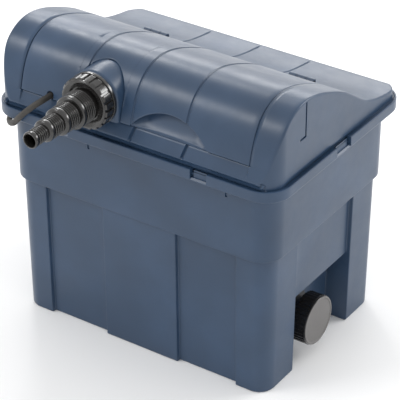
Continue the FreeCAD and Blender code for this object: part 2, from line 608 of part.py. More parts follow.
def cover_shell():
    """The hinged cover: curved shell with rib grooves, finger scoop, inlet slot and hinge barrels."""
    x = COVER_HALF_X
    outer = hump_body(0, -x, x, PLATE_LOW_Z)
    clear_y = LEDGE_FOOT_Y - 13.0
    keep = box(-x, x, clear_y, COVER_REAR_Y, PARTING_Z + 0.3, ABOVE_Z)
    skin = outer.cut(hump_body(COVER_WALL, -x - 1, x + 1, PLATE_LOW_Z - 1))
    ends = [hump_body(0, s - 1.25, s + 1.25, PLATE_LOW_Z).cut(
        hump_body(7.0, s - 2, s + 2, PLATE_LOW_Z - 1)) for s in (-x + 1.25, x - 1.25)]
    shell = fuse([skin] + ends).common(keep)
    # finger scoop: a sloping floor that leaves an overhanging lip along the arc
    sill_y = LEDGE_FOOT_Y + 3.4
    slope = [(sill_y, PARTING_Z - 4), (sill_y + SCOOP_DEEP + 4, PARTING_Z + SCOOP_RISE + 6),
             (clear_y - 10, PARTING_Z + SCOOP_RISE + 6), (clear_y - 10, PARTING_Z - 4)]
    thick = [(y + 2.6, z) for y, z in slope[:2]] + slope[2:]
    span = (SCOOP_X - 80, SCOOP_X + 80)
    reach = (clear_y, clear_y + 55)
    block = scoop_segment(COVER_WALL, *reach).common(prism_x(thick, *span))
    block = block.common(outer).common(keep)
    hollow = scoop_segment(0, *reach).common(prism_x(slope, *span))
    shell = fuse([shell, block]).cut(hollow)
    cuts = []
    for gx in RIB_GROOVES_X:
        x0, x1 = gx - GROOVE_WIDE / 2, gx + GROOVE_WIDE / 2
        band = hump_body(-0.6, x0, x1, PLATE_LOW_Z)
        cuts.append(band.cut(hump_body(GROOVE_DEEP, x0 - 1, x1 + 1, PLATE_LOW_Z - 1)))
    slot_r = COLLAR_R + 0.8
    slot_y = LEDGE_FOOT_Y - 23.0
    cuts.append(rod(V(INLET_X, slot_y, UVC_Z), Y_AXIS, slot_r, 68))
    cuts.append(box(INLET_X - slot_r, INLET_X + slot_r, slot_y, slot_y + 68,
                    LEDGE_FOOT_Z + 4, UVC_Z))
    lead_x, lead_z, arch = CABLE_EXIT[0], CABLE_EXIT[2], CABLE_NOTCH_R
    cuts.append(rod(V(lead_x, clear_y, lead_z), Y_AXIS, arch, 40))
    cuts.append(box(lead_x - arch, lead_x + arch, clear_y, clear_y + 40, LEDGE_FOOT_Z + 4, lead_z))
    cuts += hinge_clearance("lid", KNUCKLE_R + 0.6)
    shell = shell.cut(cuts)
    shell = fuse([shell] + knuckles("cover"))
    for s in (-1, 1):
        shell = shell.cut(rod(V(s * HINGE_X - 20, HINGE_Y, HINGE_Z), X_AXIS, PIN_R + TOUCH_GAP, 40))
    return shell


def hinge_pins():
    """Two steel pins, held by the lid's outer knuckles."""
    half = KNUCKLE_LONG / 2 + LID_KNUCKLE_LONG + 0.4
    return Part.makeCompound([rod(V(s * HINGE_X - half, HINGE_Y, HINGE_Z), X_AXIS, PIN_R, 2 * half)
                              for s in (-1, 1)])


# ---------------------------------------------------------------- UV unit
def clamp_screw_places():
    """Centres of the four clamp screws."""
    return [(x + CLAMP_WIDE / 2, UVC_Y + s * CLAMP_FOOT_Y) for x in CLAMP_X for s in (-1, 1)]


def uvc_tube():
    """Water housing with its side inlet spigot, bayonet flange and closed right end."""
    at = lambda x: V(x, UVC_Y, UVC_Z)
    length = UVC_RIGHT - UVC_LEFT
    body = rod(at(UVC_LEFT), X_AXIS, UVC_R, length)
    flange = rod(at(UVC_LEFT), X_AXIS, FLANGE_R, FLANGE_THICK)
    spigot = rod(V(INLET_X, SPIGOT_END_Y, UVC_Z), Y_AXIS, SPIGOT_R, UVC_Y - SPIGOT_END_Y)
    saddle = rod(V(OUTLET_PIPE_X, UVC_Y, UVC_Z - UVC_R - 5), Z_AXIS, OUTLET_PIPE_R, UVC_R + 5)
    bore = rod(at(UVC_LEFT - 1), X_AXIS, UVC_R - UVC_WALL, length - UVC_WALL + 1)
    inlet = rod(V(INLET_X, SPIGOT_END_Y - 1, UVC_Z), Y_AXIS, SPIGOT_BORE, UVC_Y - SPIGOT_END_Y)
    drop = rod(V(OUTLET_PIPE_X, UVC_Y, UVC_Z - UVC_R - 6), Z_AXIS, OUTLET_PIPE_R - 3, UVC_R)
    return fuse([body, flange, spigot, saddle]).cut([bore, inlet, drop])


def inlet_collar():
    """Arched collar round the spigot, which fills the cover's slot down to the ledge."""
    y0, y1 = NUT_BACK_Y + TOUCH_GAP, LEDGE_FOOT_Y + 34.0
    arch = rod(V(INLET_X, y0, UVC_Z), Y_AXIS, COLLAR_R, y1 - y0)
    skirt = box(INLET_X - COLLAR_R, INLET_X + COLLAR_R, y0, y1, PARTING_Z + 0.05, UVC_Z)
    collar = fuse([arch, skirt])
    collar = collar.cut(rod(V(INLET_X, y0 - 1, UVC_Z), Y_AXIS, SPIGOT_R, y1 - y0 + 2))
    below = box(INLET_X - 50, INLET_X + 50, y0 - 1, y1 + 1, RIM_Z - 30, PARTING_Z + 0.05)
    ring_room = rod(V(UVC_LEFT - 12, UVC_Y, UVC_Z), X_AXIS, RING_R + 2.8, 19.8)
    return collar.cut([below, ring_room])


def uvc_outlet():
    """Drop pipe that carries the water through the tray into the first chamber."""
    at = lambda z: V(OUTLET_PIPE_X, UVC_Y, z)
    top = UVC_Z - UVC_R - 5
    pipe = tube(at(OUTLET_PIPE_FOOT), Z_AXIS, OUTLET_PIPE_R, OUTLET_PIPE_R - 3, top - OUTLET_PIPE_FOOT)
    flange = tube(at(TRAY_TOP + 1.5), Z_AXIS, OUTLET_PIPE_R + 7, OUTLET_PIPE_R - 3, 3)
    return fuse([pipe, flange])


def uvc_parts():
    """Sleeve, lamp, socket, head, ballast, seals, clamps and their screws."""
    at = lambda x: V(x, UVC_Y, UVC_Z)
    save("uvc_tube", uvc_tube())
    save("inlet_collar", inlet_collar())
    save("uvc_outlet", uvc_outlet())
    save("outlet_grommet", tube(V(OUTLET_PIPE_X, UVC_Y, TRAY_TOP), Z_AXIS, OUTLET_PIPE_R + 6,
                                OUTLET_PIPE_R, 1.5))
    joint_x = UVC_LEFT - 0.2
    sleeve_end = UVC_RIGHT - 30
    sleeve = fuse([rod(at(joint_x), X_AXIS, SLEEVE_R, sleeve_end - joint_x),
                   Part.makeSphere(SLEEVE_R, at(sleeve_end))])
    hollow = fuse([rod(at(joint_x - 1), X_AXIS, SLEEVE_R - 1.5, sleeve_end - joint_x + 1),
                   Part.makeSphere(SLEEVE_R - 1.5, at(sleeve_end))])
    save("quartz_sleeve", sleeve.cut(hollow))
    lamp_x0, lamp_x1 = UVC_LEFT + 18, sleeve_end - 6
    legs = [rod(V(lamp_x0, UVC_Y, UVC_Z + s * 6.4), X_AXIS, 5.6, lamp_x1 - lamp_x0) for s in (-1, 1)]
    bridge = rod(V(lamp_x1 - 12, UVC_Y, UVC_Z - 6.4), Z_AXIS, 3.0, 12.8)
    base = rod(at(lamp_x0 - 6), X_AXIS, 12.6, 6)
    save("uvc_lamp", fuse(legs + [bridge, base]))
    save("lamp_socket", rod(at(lamp_x0 - 30), X_AXIS, 13.2, 24))
    head_right = joint_x - 2.2
    casing = rod(at(HEAD_LEFT), X_AXIS, HEAD_R, head_right - HEAD_LEFT)
    flange = rod(at(head_right - FLANGE_THICK), X_AXIS, FLANGE_R, FLANGE_THICK)
    pad = box(CABLE_EXIT[0] - 8, CABLE_EXIT[0] + 8, UVC_Y - HEAD_R + 2.5, UVC_Y - 10,
              CABLE_EXIT[2] - 8, CABLE_EXIT[2] + 8)
    room = rod(at(HEAD_LEFT + 2.5), X_AXIS, HEAD_R - 2.5, lamp_x0 - 34 - HEAD_LEFT)
    mouth = rod(at(lamp_x0 - 40), X_AXIS, 13.6, 40)
    lead = rod(V(CABLE_EXIT[0], UVC_Y - HEAD_R + 0.5, CABLE_EXIT[2]), Y_AXIS, CABLE_R, 12)
    save("uvc_head", fuse([casing, flange, pad]).cut([room, mouth, lead]))
    save("ballast", box(HEAD_LEFT + 6, lamp_x0 - 36, UVC_Y - 15, UVC_Y + 15, UVC_Z - 12, UVC_Z + 12))
    save("head_o_ring", tube(at(head_right), X_AXIS, FLANGE_R - 2, SLEEVE_R + 1.5, 2.2))
    for name, x in zip(("left", "right"), CLAMP_X):
        strap = rod(at(x), X_AXIS, UVC_R + 3, CLAMP_WIDE)
        pad = box(x, x + CLAMP_WIDE, UVC_Y - 18, UVC_Y + 18, TRAY_TOP, UVC_Z)
        foot = box(x, x + CLAMP_WIDE, UVC_Y - CLAMP_FOOT_Y - 6, UVC_Y + CLAMP_FOOT_Y + 6,
                   TRAY_TOP, TRAY_TOP + 3)
        holes = [rod(V(x + CLAMP_WIDE / 2, UVC_Y + s * CLAMP_FOOT_Y, TRAY_TOP - 1), Z_AXIS, 2.0, 5)
                 for s in (-1, 1)]
        clamp = fuse([strap, pad, foot]).cut([rod(at(x - 1), X_AXIS, UVC_R, CLAMP_WIDE + 2)] + holes)
        save("tube_clamp_%s" % name, clamp)
    screws = []
    for x, y in clamp_screw_places():
        head = rod(V(x, y, TRAY_TOP + 3), Z_AXIS, 4.0, 2.6)
        head = head.cut(box(x - 3, x + 3, y - 0.5, y + 0.5, TRAY_TOP + 4.4, TRAY_TOP + 6))
        screws.append(fuse([head, rod(V(x, y, TRAY_Z - 2), Z_AXIS, 1.9, TRAY_TOP + 5 - TRAY_Z)]))
    save("clamp_screws", Part.makeCompound(screws))


def lock_ring():
    """Bayonet ring over the two flanges, with four grip lugs."""
    left = UVC_LEFT - 0.2 - 2.2 - FLANGE_THICK - 2.8
    right = UVC_LEFT + FLANGE_THICK + 3.0
    at = lambda x: V(x, UVC_Y, UVC_Z)
    body = rod(at(left), X_AXIS, RING_R, right - left)
    lugs = []
    for i in range(4):
        lug = box(left, right, UVC_Y - 4, UVC_Y + 4, UVC_Z + RING_R - 2, UVC_Z + RING_R + 2)
        lug.rotate(at(0), X_AXIS, 45 + 90 * i)
        lugs.append(lug)
    groove = rod(at(left + 2.5), X_AXIS, FLANGE_R + TOUCH_GAP, right - left - 5.2)
    bore = rod(at(left - 1), X_AXIS, HEAD_R + TOUCH_GAP, right - left + 2)
    return fuse([body] + lugs).cut([groove, bore])


# ---------------------------------------------------------------- inlet union and hose tail
def union_nut():
    """Union nut: smooth back ring, long grip pads and a front lip that holds the tail's flange."""
    at = lambda y: V(INLET_X, y, UVC_Z)
    depth = NUT_BACK_Y - NUT_FRONT_Y
    body = rod(at(NUT_FRONT_Y), Y_AXIS, NUT_R - 1.9, depth)
    ring = rod(at(NUT_BACK_Y - 4.2), Y_AXIS, NUT_R, 4.2)
    ribs = []
    for i in range(NUT_RIBS):
        rib = box(INLET_X - 2.6, INLET_X + 2.6, NUT_FRONT_Y + 1.0, NUT_BACK_Y - 4,
                  UVC_Z + NUT_R - 4, UVC_Z + NUT_R - 0.3)
        rib.rotate(at(0), Y_AXIS, 360.0 * i / NUT_RIBS)
        ribs.append(rib)
    lip_y = tail_flange_front() - TOUCH_GAP
    thread = rod(at(lip_y), Y_AXIS, SPIGOT_R + 0.35, NUT_BACK_Y - lip_y + 1)
    mouth = rod(at(NUT_FRONT_Y - 1), Y_AXIS, TAIL_STEPS[0] + 0.5, 10)
    bevel = cone(at(NUT_FRONT_Y - 0.01), Y_AXIS, NUT_R - 5.0, TAIL_STEPS[0] + 0.5, 2.2)
    return fuse([body, ring] + ribs).cut([thread, mouth, bevel])


def tail_flange_front():
    """Y of the tail flange's front face."""
    return SPIGOT_END_Y - TOUCH_GAP - SEAL_RING_THICK - 2.4


def tail_outline():
    """Outer outline of the hose tail as (distance from the flange's back, radius)."""
    flange_back = SPIGOT_END_Y - TOUCH_GAP - SEAL_RING_THICK
    front = flange_back - tail_flange_front()
    neck_end = flange_back - NUT_FRONT_Y
    points = [(0, TAIL_FLANGE_R), (front, TAIL_FLANGE_R), (front, TAIL_STEPS[0] - 0.6)]
    step = (NUT_FRONT_Y - TAIL_END_Y) / len(TAIL_STEPS)
    rings, pitch, band = 5, 3.0, 5.8
    for i, radius in enumerate(TAIL_STEPS):
        s = neck_end + i * step
        root = radius - 1.0
        points.append((s, root if i == 0 else radius - 1.6))
        lead = step - rings * pitch - band
        for j in range(rings):
            a = s + lead + j * pitch
            points += [(a, root), (a + 0.9, radius - 0.2), (a + 1.9, radius - 0.2), (a + 2.6, root)]
        a = s + lead + rings * pitch
        points += [(a, root), (a + 0.5, radius), (a + band - 0.9, radius), (a + band, radius - 0.9)]
    return points


def hose_tail():
    """Stepped hose tail for four hose sizes, with a tapering bore."""
    flange_back = SPIGOT_END_Y - TOUCH_GAP - SEAL_RING_THICK
    total = flange_back - TAIL_END_Y
    step = (NUT_FRONT_Y - TAIL_END_Y) / len(TAIL_STEPS)
    neck_end = flange_back - NUT_FRONT_Y
    inner = [(total, TAIL_STEPS[-1] - TAIL_WALL + 0.4)]
    for i in range(len(TAIL_STEPS) - 1, 0, -1):
        s = neck_end + i * step
        inner += [(s + 1, TAIL_STEPS[i] - TAIL_WALL + 0.2), (s - 3, TAIL_STEPS[i - 1] - TAIL_WALL)]
    inner.append((0, TAIL_STEPS[0] - TAIL_WALL))
    return turned(tail_outline() + inner, V(INLET_X, flange_back, UVC_Z), V(0, -1, 0))


def hose_seal():
    """Flat ring between the spigot and the tail's flange."""
    back = SPIGOT_END_Y - TOUCH_GAP
    return tube(V(INLET_X, back - SEAL_RING_THICK, UVC_Z), Y_AXIS, TAIL_FLANGE_R, SPIGOT_BORE,
                SEAL_RING_THICK)


# ---------------------------------------------------------------- cable and plug
def cable_parts():
    """Gland, strain relief, the cable in its stretches, the coil, and the mains plug."""
    x, y, z = CABLE_EXIT
    gland = ring_nut(V(x, y + 20, z), Y_AXIS, 8.0, CABLE_R, 11, 6)
    save("cable_gland", gland)
    relief = cone(V(x, y + 20, z), V(0, -1, 0), 6.4, CABLE_R + 0.9, 20)
    save("strain_relief", relief)
    save("cable_upper", route_tube(CABLE_UPPER, CABLE_R, "cable_upper"))
    save("cable_lower", route_tube(CABLE_LOWER, CABLE_R, "cable_lower"))
    middle = V(COIL_X, COIL_Y, COIL_BASE_Z)
    half = COIL_BAND / 2
    save("cable_coil", ring_block(middle, COIL_MEAN_R, COIL_BAND, 4.0))
    tail_y = COIL_Y - COIL_MEAN_R - COIL_OUTER_TURN
    reach = COIL_MEAN_R + COIL_OUTER_TURN - CABLE_R
    start_x = COIL_X + math.sqrt((COIL_MEAN_R + half) ** 2 - reach ** 2) + 0.2
    relief_x = PLUG_X - 24
    save("cable_tail", rod(V(start_x, tail_y, TAIL_Z), X_AXIS, CABLE_R, relief_x - start_x))
    cuff = cone(V(relief_x, tail_y, TAIL_Z), X_AXIS, CABLE_R + 1.0, 9.0, PLUG_X - relief_x)
    body = rod(V(PLUG_X, tail_y, TAIL_Z), X_AXIS, PLUG_R, 34)
    save("power_plug", fuse([cuff, body]))
    pins = [rod(V(PLUG_X + 34, tail_y + s * 9.5, TAIL_Z), X_AXIS, 2.4, 19) for s in (-1, 1)]
    save("plug_pins", Part.makeCompound(pins))


def ring_block(centre, mean_r, band, bevel):
    """A ring of square section with bevelled corners, standing on centre."""
    half = band / 2
    outline = [(mean_r - half + bevel, 0), (mean_r + half - bevel, 0), (mean_r + half, bevel),
               (mean_r + half, band - bevel), (mean_r + half - bevel, band),
               (mean_r - half + bevel, band), (mean_r - half, band - bevel), (mean_r - half, bevel)]
    wire = Part.makePolygon([centre + V(r, 0, h) for r, h in outline + outline[:1]])
    return Part.Face(wire).revolve(centre, Z_AXIS, 360)


# ---------------------------------------------------------------- write every node
save("tank_shell", tank_shell())
drain_parts()
drain_cap_parts()
outlet_parts()
foam_parts()
media_parts()
save("lid_shell", lid_shell())
save("lid_seal", lid_seal())
save("cover_shell", cover_shell())
save("hinge_pins", hinge_pins())
uvc_parts()
save("lock_ring", lock_ring())
save("union_nut", union_nut())
save("hose_tail", hose_tail())
save("hose_seal", hose_seal())
cable_parts()
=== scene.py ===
import json
import math

import bmesh
import bpy
import numpy as np
from mathutils import Matrix


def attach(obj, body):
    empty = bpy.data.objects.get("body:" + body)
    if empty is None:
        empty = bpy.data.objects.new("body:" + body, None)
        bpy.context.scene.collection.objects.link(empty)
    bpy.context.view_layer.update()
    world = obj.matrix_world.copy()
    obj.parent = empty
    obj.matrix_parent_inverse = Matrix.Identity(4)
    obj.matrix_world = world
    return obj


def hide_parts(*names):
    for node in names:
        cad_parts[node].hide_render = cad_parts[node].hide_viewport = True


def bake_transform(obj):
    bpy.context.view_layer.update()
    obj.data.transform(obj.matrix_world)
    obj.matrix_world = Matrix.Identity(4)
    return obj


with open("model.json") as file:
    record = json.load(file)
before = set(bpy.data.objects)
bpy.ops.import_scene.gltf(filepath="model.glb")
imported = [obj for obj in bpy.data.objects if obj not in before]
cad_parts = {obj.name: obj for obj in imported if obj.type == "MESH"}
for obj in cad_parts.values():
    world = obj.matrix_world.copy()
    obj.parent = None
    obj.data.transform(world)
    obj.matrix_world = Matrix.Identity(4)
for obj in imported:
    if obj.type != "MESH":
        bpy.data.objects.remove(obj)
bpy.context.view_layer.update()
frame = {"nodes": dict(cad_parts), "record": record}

bl_info = {
    "name": "Pond filter box",
    "version": (1, 0, 0),
    "blender": (4, 5, 0),
    "location": "View3D > Sidebar > Pond filter",
    "description": "Builds the visible skin of a flow-through pond filter box",
    "category": "Object",
}

MM = 0.001

# ---------------------------------------------------------------- sizes, in millimetres
TANK_X, TANK_Y, TANK_CORNER = 169.3, 120.0, 20.0
DRAFT, BAND_Z, BAND_OUT, BAND_LEAN = 2.6, 180.0, 5.4, 0.6
WALL, PANEL_DEEP = 3.0, 5.0
FLANGE_LOW, FLANGE_TOP, FLANGE_OUT = 271.2, 274.2, 16.8
ALCOVE_DEEP, ALCOVE_TOP = 30.0, 96.0
POST_ENDS = 60.0
LONG_PANELS = ((-130.0, -50.0), (50.0, 130.0))
SNAPS, SNAP_HALF, SLOT_WIDE = (93.0, -91.4), 10.4, 2.6
PIPS, PIP_LOW, PIP_HIGH, PIP_HALF, PIP_DEEP = (121.0, -62.0), 252.0, 257.0, 1.1, 1.3
PANEL_TOP = BAND_Z - 1.2
ROW_PITCH = 13.0       # about the spacing of the rows up the tank's walls

RIM_X, RIM_Y, RIM_CORNER = 190.3, 141.0, 32.0
WINDOW_DEEP, SLOT_DEEP, SILL_OUT, SILL_Z = 3.9, 8.6, 1.8, 269.2
SILL_FROM, SILL_TO, SILL_LIP = 267.6, 268.2, 268.5
NOTCH = (-13.7, 15.7)

HUMP = [
    (-132.0, 301.5), (-124.0, 327.8), (-108.6, 350.8), (-90.5, 361.0), (-72.4, 363.6),
    (-53.6, 361.2), (-15.5, 347.8), (17.9, 331.1), (42.0, 314.3), (61.1, 302.6),
    (86.5, 294.2), (131.7, 287.0),
]
LEDGE = [
    (-134.5, 278.3), (-134.5, 281.6), (-134.9, 283.0), (-136.2, 284.3), (-136.9, 285.4),
    (-136.9, 286.6), (-136.3, 288.4), (-134.6, 293.6), (-132.6, 299.7),
]
REAR_EDGE = [(133.6, 286.4), (135.1, 285.1), (136.0, 283.0), (136.0, 278.6)]
PARTING = 301.5
RIB_MARKS = (-2.4, -1.8, -1.2, -0.6, 0, 0.6, 1.2, 1.8, 2.4)     # grid lines across one groove
END_X, PLAN_REACH, PLAN_CORNER = 184.4, 137.7, 27.0
BAY_X, BAY_REAR, BAY_FRONT = 152.4, 57.5, 124.0
COVER_X, COVER_REAR, COVER_WALL = 151.8, 57.2, 2.5
RIBS_X = (-68.7, 0.0, 68.7)
SCOOP_X, SCOOP_CHORD, SCOOP_RISE = 47.7, 100.2, 25.0
TRAY_TOP = 284.0
SLIT_Y, SLIT_WIDE, SLIT_HOOK = -73.6, 2.2, 6.0

INLET_X, INLET_Z = -47.0, 324.5
COLLAR_R, COLLAR_FRONT, COLLAR_BACK = 31.5, -134.9, -103.0
SPIGOT_R = 23.9
NUT_R, NUT_BACK, NUT_FRONT, NUT_PADS = 31.1, -135.2, -155.0, 20
TAIL_STEPS, TAIL_END = (19.7, 16.0, 12.7, 9.6), -248.5
TAIL_BACK, TAIL_COLLAR = -148.9, 22.6
HINGE_X, HINGE_Y, HINGE_Z, KNUCKLE_R = 100.0, 58.6, 306.2, 3.2

DRAIN_Y, DRAIN_Z = -17.4, 47.5
CAP_BACK, CAP_FACE, CAP_RIBS = 155.8, 176.8, 36
OUTLET_Y, OUTLET_Z, OUTLET_R, OUTLET_BORE = 30.0, 217.0, 25.0, 22.0

CABLE_R, CABLE_LENGTH, RELIEF_LONG = 3.5, 4.9, 20.0      # the length is in metres
CABLE_EXIT = (-111.0, -128.0, 305.3)
CABLE_ROUTE = [
    CABLE_EXIT, (-111.0, -141.0, 305.3), (-117.0, -151.0, 300.8), (-130.0, -153.5, 288.5),
    (-142.0, -150.5, 276.0), (-149.1, -147.5, 268.4), (-152.0, -146.3, 265.0),
    (-163.0, -139.7, 258.0), (-174.0, -128.5, 255.5), (-183.2, -111.8, 250.2),
    (-187.5, -94.0, 236.5),
    (-189.0, -78.0, 205.0), (-190.0, -66.0, 165.0), (-189.0, -56.0, 118.0),
    (-190.0, -46.0, 66.0), (-193.0, -28.0, 27.0), (-200.0, 6.0, 5.5), (-206.0, 46.0, 3.8),
    (-203.0, 88.0, 4.2), (-190.0, 121.0, 3.8), (-166.0, 139.0, 4.0), (-141.0, 145.0, 4.0),
    (-115.5, 143.8, 4.0),
]
COIL_X, COIL_Y, COIL_R, COIL_LOW = -88.0, 196.0, 42.0, 3.9
COIL_LAYERS, COIL_ROUNDS, COIL_MARKS = 4, 4, 12
PLUG_X, PLUG_Y, PLUG_Z = 2.0, 143.5, 18.6

BODY_OF = {
    node: body
    for body, nodes in frame["record"]["behaviour"]["bodies"].items()
    for node in nodes
}


# ---------------------------------------------------------------- surfaces from arrays
def patch(points, wrap=(False, False), keep=None, ends=False):
    """Quads over a grid of points, rows by columns. wrap joins the last row or column to the
    first, keep drops quads, ends closes the first and last row with one flat face each.
    The faces are turned so that they look away from the grid's middle."""
    rows, cols = points.shape[:2]
    i = np.arange(rows if wrap[0] else rows - 1)[:, None]
    j = np.arange(cols if wrap[1] else cols - 1)[None, :]
    i2, j2 = (i + 1) % rows, (j + 1) % cols
    quads = np.stack(
        [i * cols + j, i * cols + j2, i2 * cols + j2, i2 * cols + j], axis=-1
    )
    quads = quads.reshape(-1, 4) if keep is None else quads[keep]
    flat = points.reshape(-1, 3)
    corner = flat[quads]
    area = np.cross(corner[:, 2] - corner[:, 0], corner[:, 3] - corner[:, 1])
    middle = flat.mean(axis=0)
    outward = np.einsum("ij,ij->", area, corner.mean(axis=1) - middle)
    faces = quads.tolist()
    if ends:
        faces.append(list(range(cols))[::-1])
        faces.append([(rows - 1) * cols + k for k in range(cols)])
    if outward < 0:
        faces = [face[::-1] for face in faces]
    return flat, faces


def piece(name, patches, material, node=None, body=None, thickness=0.0, sharp=38.0,
          replaced=(), rides=True):
    """Make one mesh object of patches in millimetres, weld it, and put it on its CAD body. A piece made
    with rides off goes on no body."""
    points, faces, base = [], [], 0
    for flat, polygons in patches:
        points.append(flat)
        faces += [[base + k for k in face] for face in polygons]
        base += len(flat)
    mesh = bpy.data.meshes.new(name)
    mesh.from_pydata((np.concatenate(points) * MM).tolist(), [], faces)
    made = bmesh.new()
    made.from_mesh(mesh)
    bmesh.ops.remove_doubles(made, verts=made.verts, dist=2e-6)
    bmesh.ops.dissolve_degenerate(made, edges=made.edges, dist=1e-7)
    made.to_mesh(mesh)
    made.free()
    mesh.shade_smooth()
    mesh.set_sharp_from_angle(angle=math.radians(sharp))
    obj = bpy.data.objects.new(name, mesh)
    bpy.context.scene.collection.objects.link(obj)
    for each in material if isinstance(material, (list, tuple)) else [material]:
        mesh.materials.append(each)
    if thickness:
        wall = obj.modifiers.new("wall", "SOLIDIFY")
        wall.thickness = thickness * MM
        wall.offset = -1.0
        wall.use_rim = True
    replaced = tuple(replaced) or ((node,) if node else ())
    if rides:
        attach(obj, body or BODY_OF[replaced[0]])
    if replaced:
        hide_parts(*replaced)
    return obj


def turned(outline, centre, axis, around=96, swell=None, closed=False):
    """Point = centre + axis * s + (side * cos a + up * sin a) * (r + swell(s, a)) for an
    outline of (s, r); a radius of nothing closes into a pole."""
    s, r = np.array(outline, float).T
    a = np.linspace(0, 2 * math.pi, around, endpoint=False)
    axis = np.array(axis, float)
    side = np.array([0.0, 0.0, 1.0]) if abs(axis[2]) < 0.5 else np.array([1.0, 0.0, 0.0])
    up = np.cross(axis, side)
    radius = np.repeat(r[:, None], around, axis=1)
    if swell is not None:
        radius = radius + swell(s[:, None], a[None, :], radius)
    ring = side * np.cos(a)[:, None] + up * np.sin(a)[:, None]
    points = np.array(centre, float) + axis * s[:, None, None] + ring * radius[..., None]
    return patch(points, wrap=(closed, True))


def rounded(outline, radius, steps=3):
    """Replace each inner corner of an open (s, r) outline by a short arc, tangent to both runs."""
    points = np.array(outline, float)
    out = [points[0]]
    for before, here, after in zip(points, points[1:], points[2:]):
        u, w = before - here, after - here
        reach = min(radius, 0.45 * np.linalg.norm(u), 0.45 * np.linalg.norm(w))
        start = here + u / np.linalg.norm(u) * reach
        stop = here + w / np.linalg.norm(w) * reach
        t = np.linspace(0, 1, steps + 1)[:, None]
        out += list((1 - t) ** 2 * start + 2 * t * (1 - t) * here + t ** 2 * stop)
    out.append(points[-1])
    return np.array(out)


def smooth_through(knots, count):
    """A natural cubic through the knots against chord length: each span is a cubic whose
    second derivative runs straight from knot to knot, and is nothing at both ends."""
    k = np.array(knots, float)
    h = np.linalg.norm(np.diff(k, axis=0), axis=1)
    t = np.concatenate([[0.0], np.cumsum(h)])
    n = len(t)
    a = np.eye(n)
    b = np.zeros((n, 2))
    inner = np.arange(1, n - 1)
    a[inner, inner - 1] = h[:-1]
    a[inner, inner] = 2 * (h[:-1] + h[1:])
    a[inner, inner + 1] = h[1:]
    slope = np.diff(k, axis=0) / h[:, None]
    b[inner] = 6 * (slope[1:] - slope[:-1])
    m = np.linalg.solve(a, b)
    u = np.linspace(0, t[-1], count)
    i = np.clip(np.searchsorted(t, u) - 1, 0, n - 2)
    lo, hi, span = (t[i + 1] - u)[:, None], (u - t[i])[:, None], h[i][:, None]
    bend = (m[i] * lo ** 3 + m[i + 1] * hi ** 3) / (6 * span)
    return bend + (k[i] / span - m[i] * span / 6) * lo + (k[i + 1] / span - m[i + 1] * span / 6) * hi


EDGE_AT = np.array([-1.2, -0.6, -0.2, 0.0, 0.15, 0.35, 0.75, 1.35])


def recess(distance, depth):
    """Depth against the distance past an edge: nothing before it and all of it beyond, with
    both corners rounded over about a millimetre."""
    soft = min(1.0, 0.4 * depth)
    share = np.array([0, 0.12 * soft, 0.5 * soft, soft])
    return np.interp(distance, EDGE_AT, np.concatenate([share, depth - share[::-1]]))


def groove(distance, wide, deep):
    """A rounded channel: full depth within half its width, fading out over another half."""
    return deep * np.clip(1.5 - 2 * np.abs(distance) / wide, 0, 1) ** 0.7


def lines(low, high, pitch, marks=()):
    """Grid lines from low to high, about pitch apart, with the marks among them."""
    base = np.linspace(low, high, max(2, int(round((high - low) / pitch)) + 1))
    marks = np.array([m for m in marks if low < m < high])
    if len(marks):
        near = np.abs(base[:, None] - marks[None, :]).min(axis=1) < 0.3 * pitch
        near[[0, -1]] = False
        base = np.concatenate([base[~near], marks])
    return np.unique(np.round(base, 4))


def edge_marks(*places):
    """The grid lines that a rounded step needs, on both sides, at each place."""
    steps = np.concatenate([EDGE_AT, -EDGE_AT])
    return [p + e for p in places for e in steps]


def plan_outline(half_x, half_y, corner, marks, pitch=14.0, arc=12):
    """A rounded rectangle, counter-clockwise from the right side's front end: its points,
    its outward directions, and the number of the side that each point is on (-1 on a corner).
    marks gives extra places along each side, in its own X or Y."""
    points, normals, sides = [], [], []
    frames = [((1, 0), (0, 1)), ((0, 1), (-1, 0)), ((-1, 0), (0, -1)), ((0, -1), (1, 0))]
    for number, (out, along) in enumerate(frames):
        out, along = np.array(out, float), np.array(along, float)
        far, reach = (half_x, half_y - corner) if out[0] else (half_y, half_x - corner)
        sign = along.sum()
        q = lines(-reach, reach, pitch, [sign * m for m in marks.get(number, ())])
        points.append(out * far + along * q[:, None])
        normals.append(np.repeat(out[None, :], len(q), axis=0))
        sides += [number] * len(q)
        turn = np.linspace(0, math.pi / 2, arc + 1)[1:-1, None]
        spoke = out * np.cos(turn) + along * np.sin(turn)
        points.append(out * (far - corner) + along * reach + spoke * corner)
        normals.append(spoke)
        sides += [-1] * len(spoke)
    return np.concatenate(points), np.concatenate(normals), np.array(sides)


# ---------------------------------------------------------------- materials
def linear(text):
    """sRGB hex to linear RGBA."""
    parts = [int(text[k:k + 2], 16) / 255 for k in (1, 3, 5)]
    return tuple(c / 12.92 if c <= 0.04045 else ((c + 0.055) / 1.055) ** 2.4 for c in parts) + (1.0,)


def add(tree, kind, inputs=None, **settings):
    """Add one node with its settings; an input is a value, or a socket to link from."""
    made = tree.nodes.new(kind)
    for key, value in settings.items():
        setattr(made, key, value)
    for key, value in (inputs or {}).items():
        if isinstance(value, bpy.types.NodeSocket):
            tree.links.new(value, made.inputs[key])
        else:
            made.inputs[key].default_value = value
    return made


def ramp(tree, factor, stops):
    """A colour ramp over factor with (place, hex) stops."""
    made = add(tree, "ShaderNodeValToRGB", {"Fac": factor})
    made.color_ramp.elements[0].position, made.color_ramp.elements[0].color = (
        stops[0][0], linear(stops[0][1]))
    made.color_ramp.elements[1].position, made.color_ramp.elements[1].color = (
        stops[-1][0], linear(stops[-1][1]))
    for place, colour in stops[1:-1]:
        made.color_ramp.elements.new(place).color = linear(colour)
    return made.outputs["Color"]


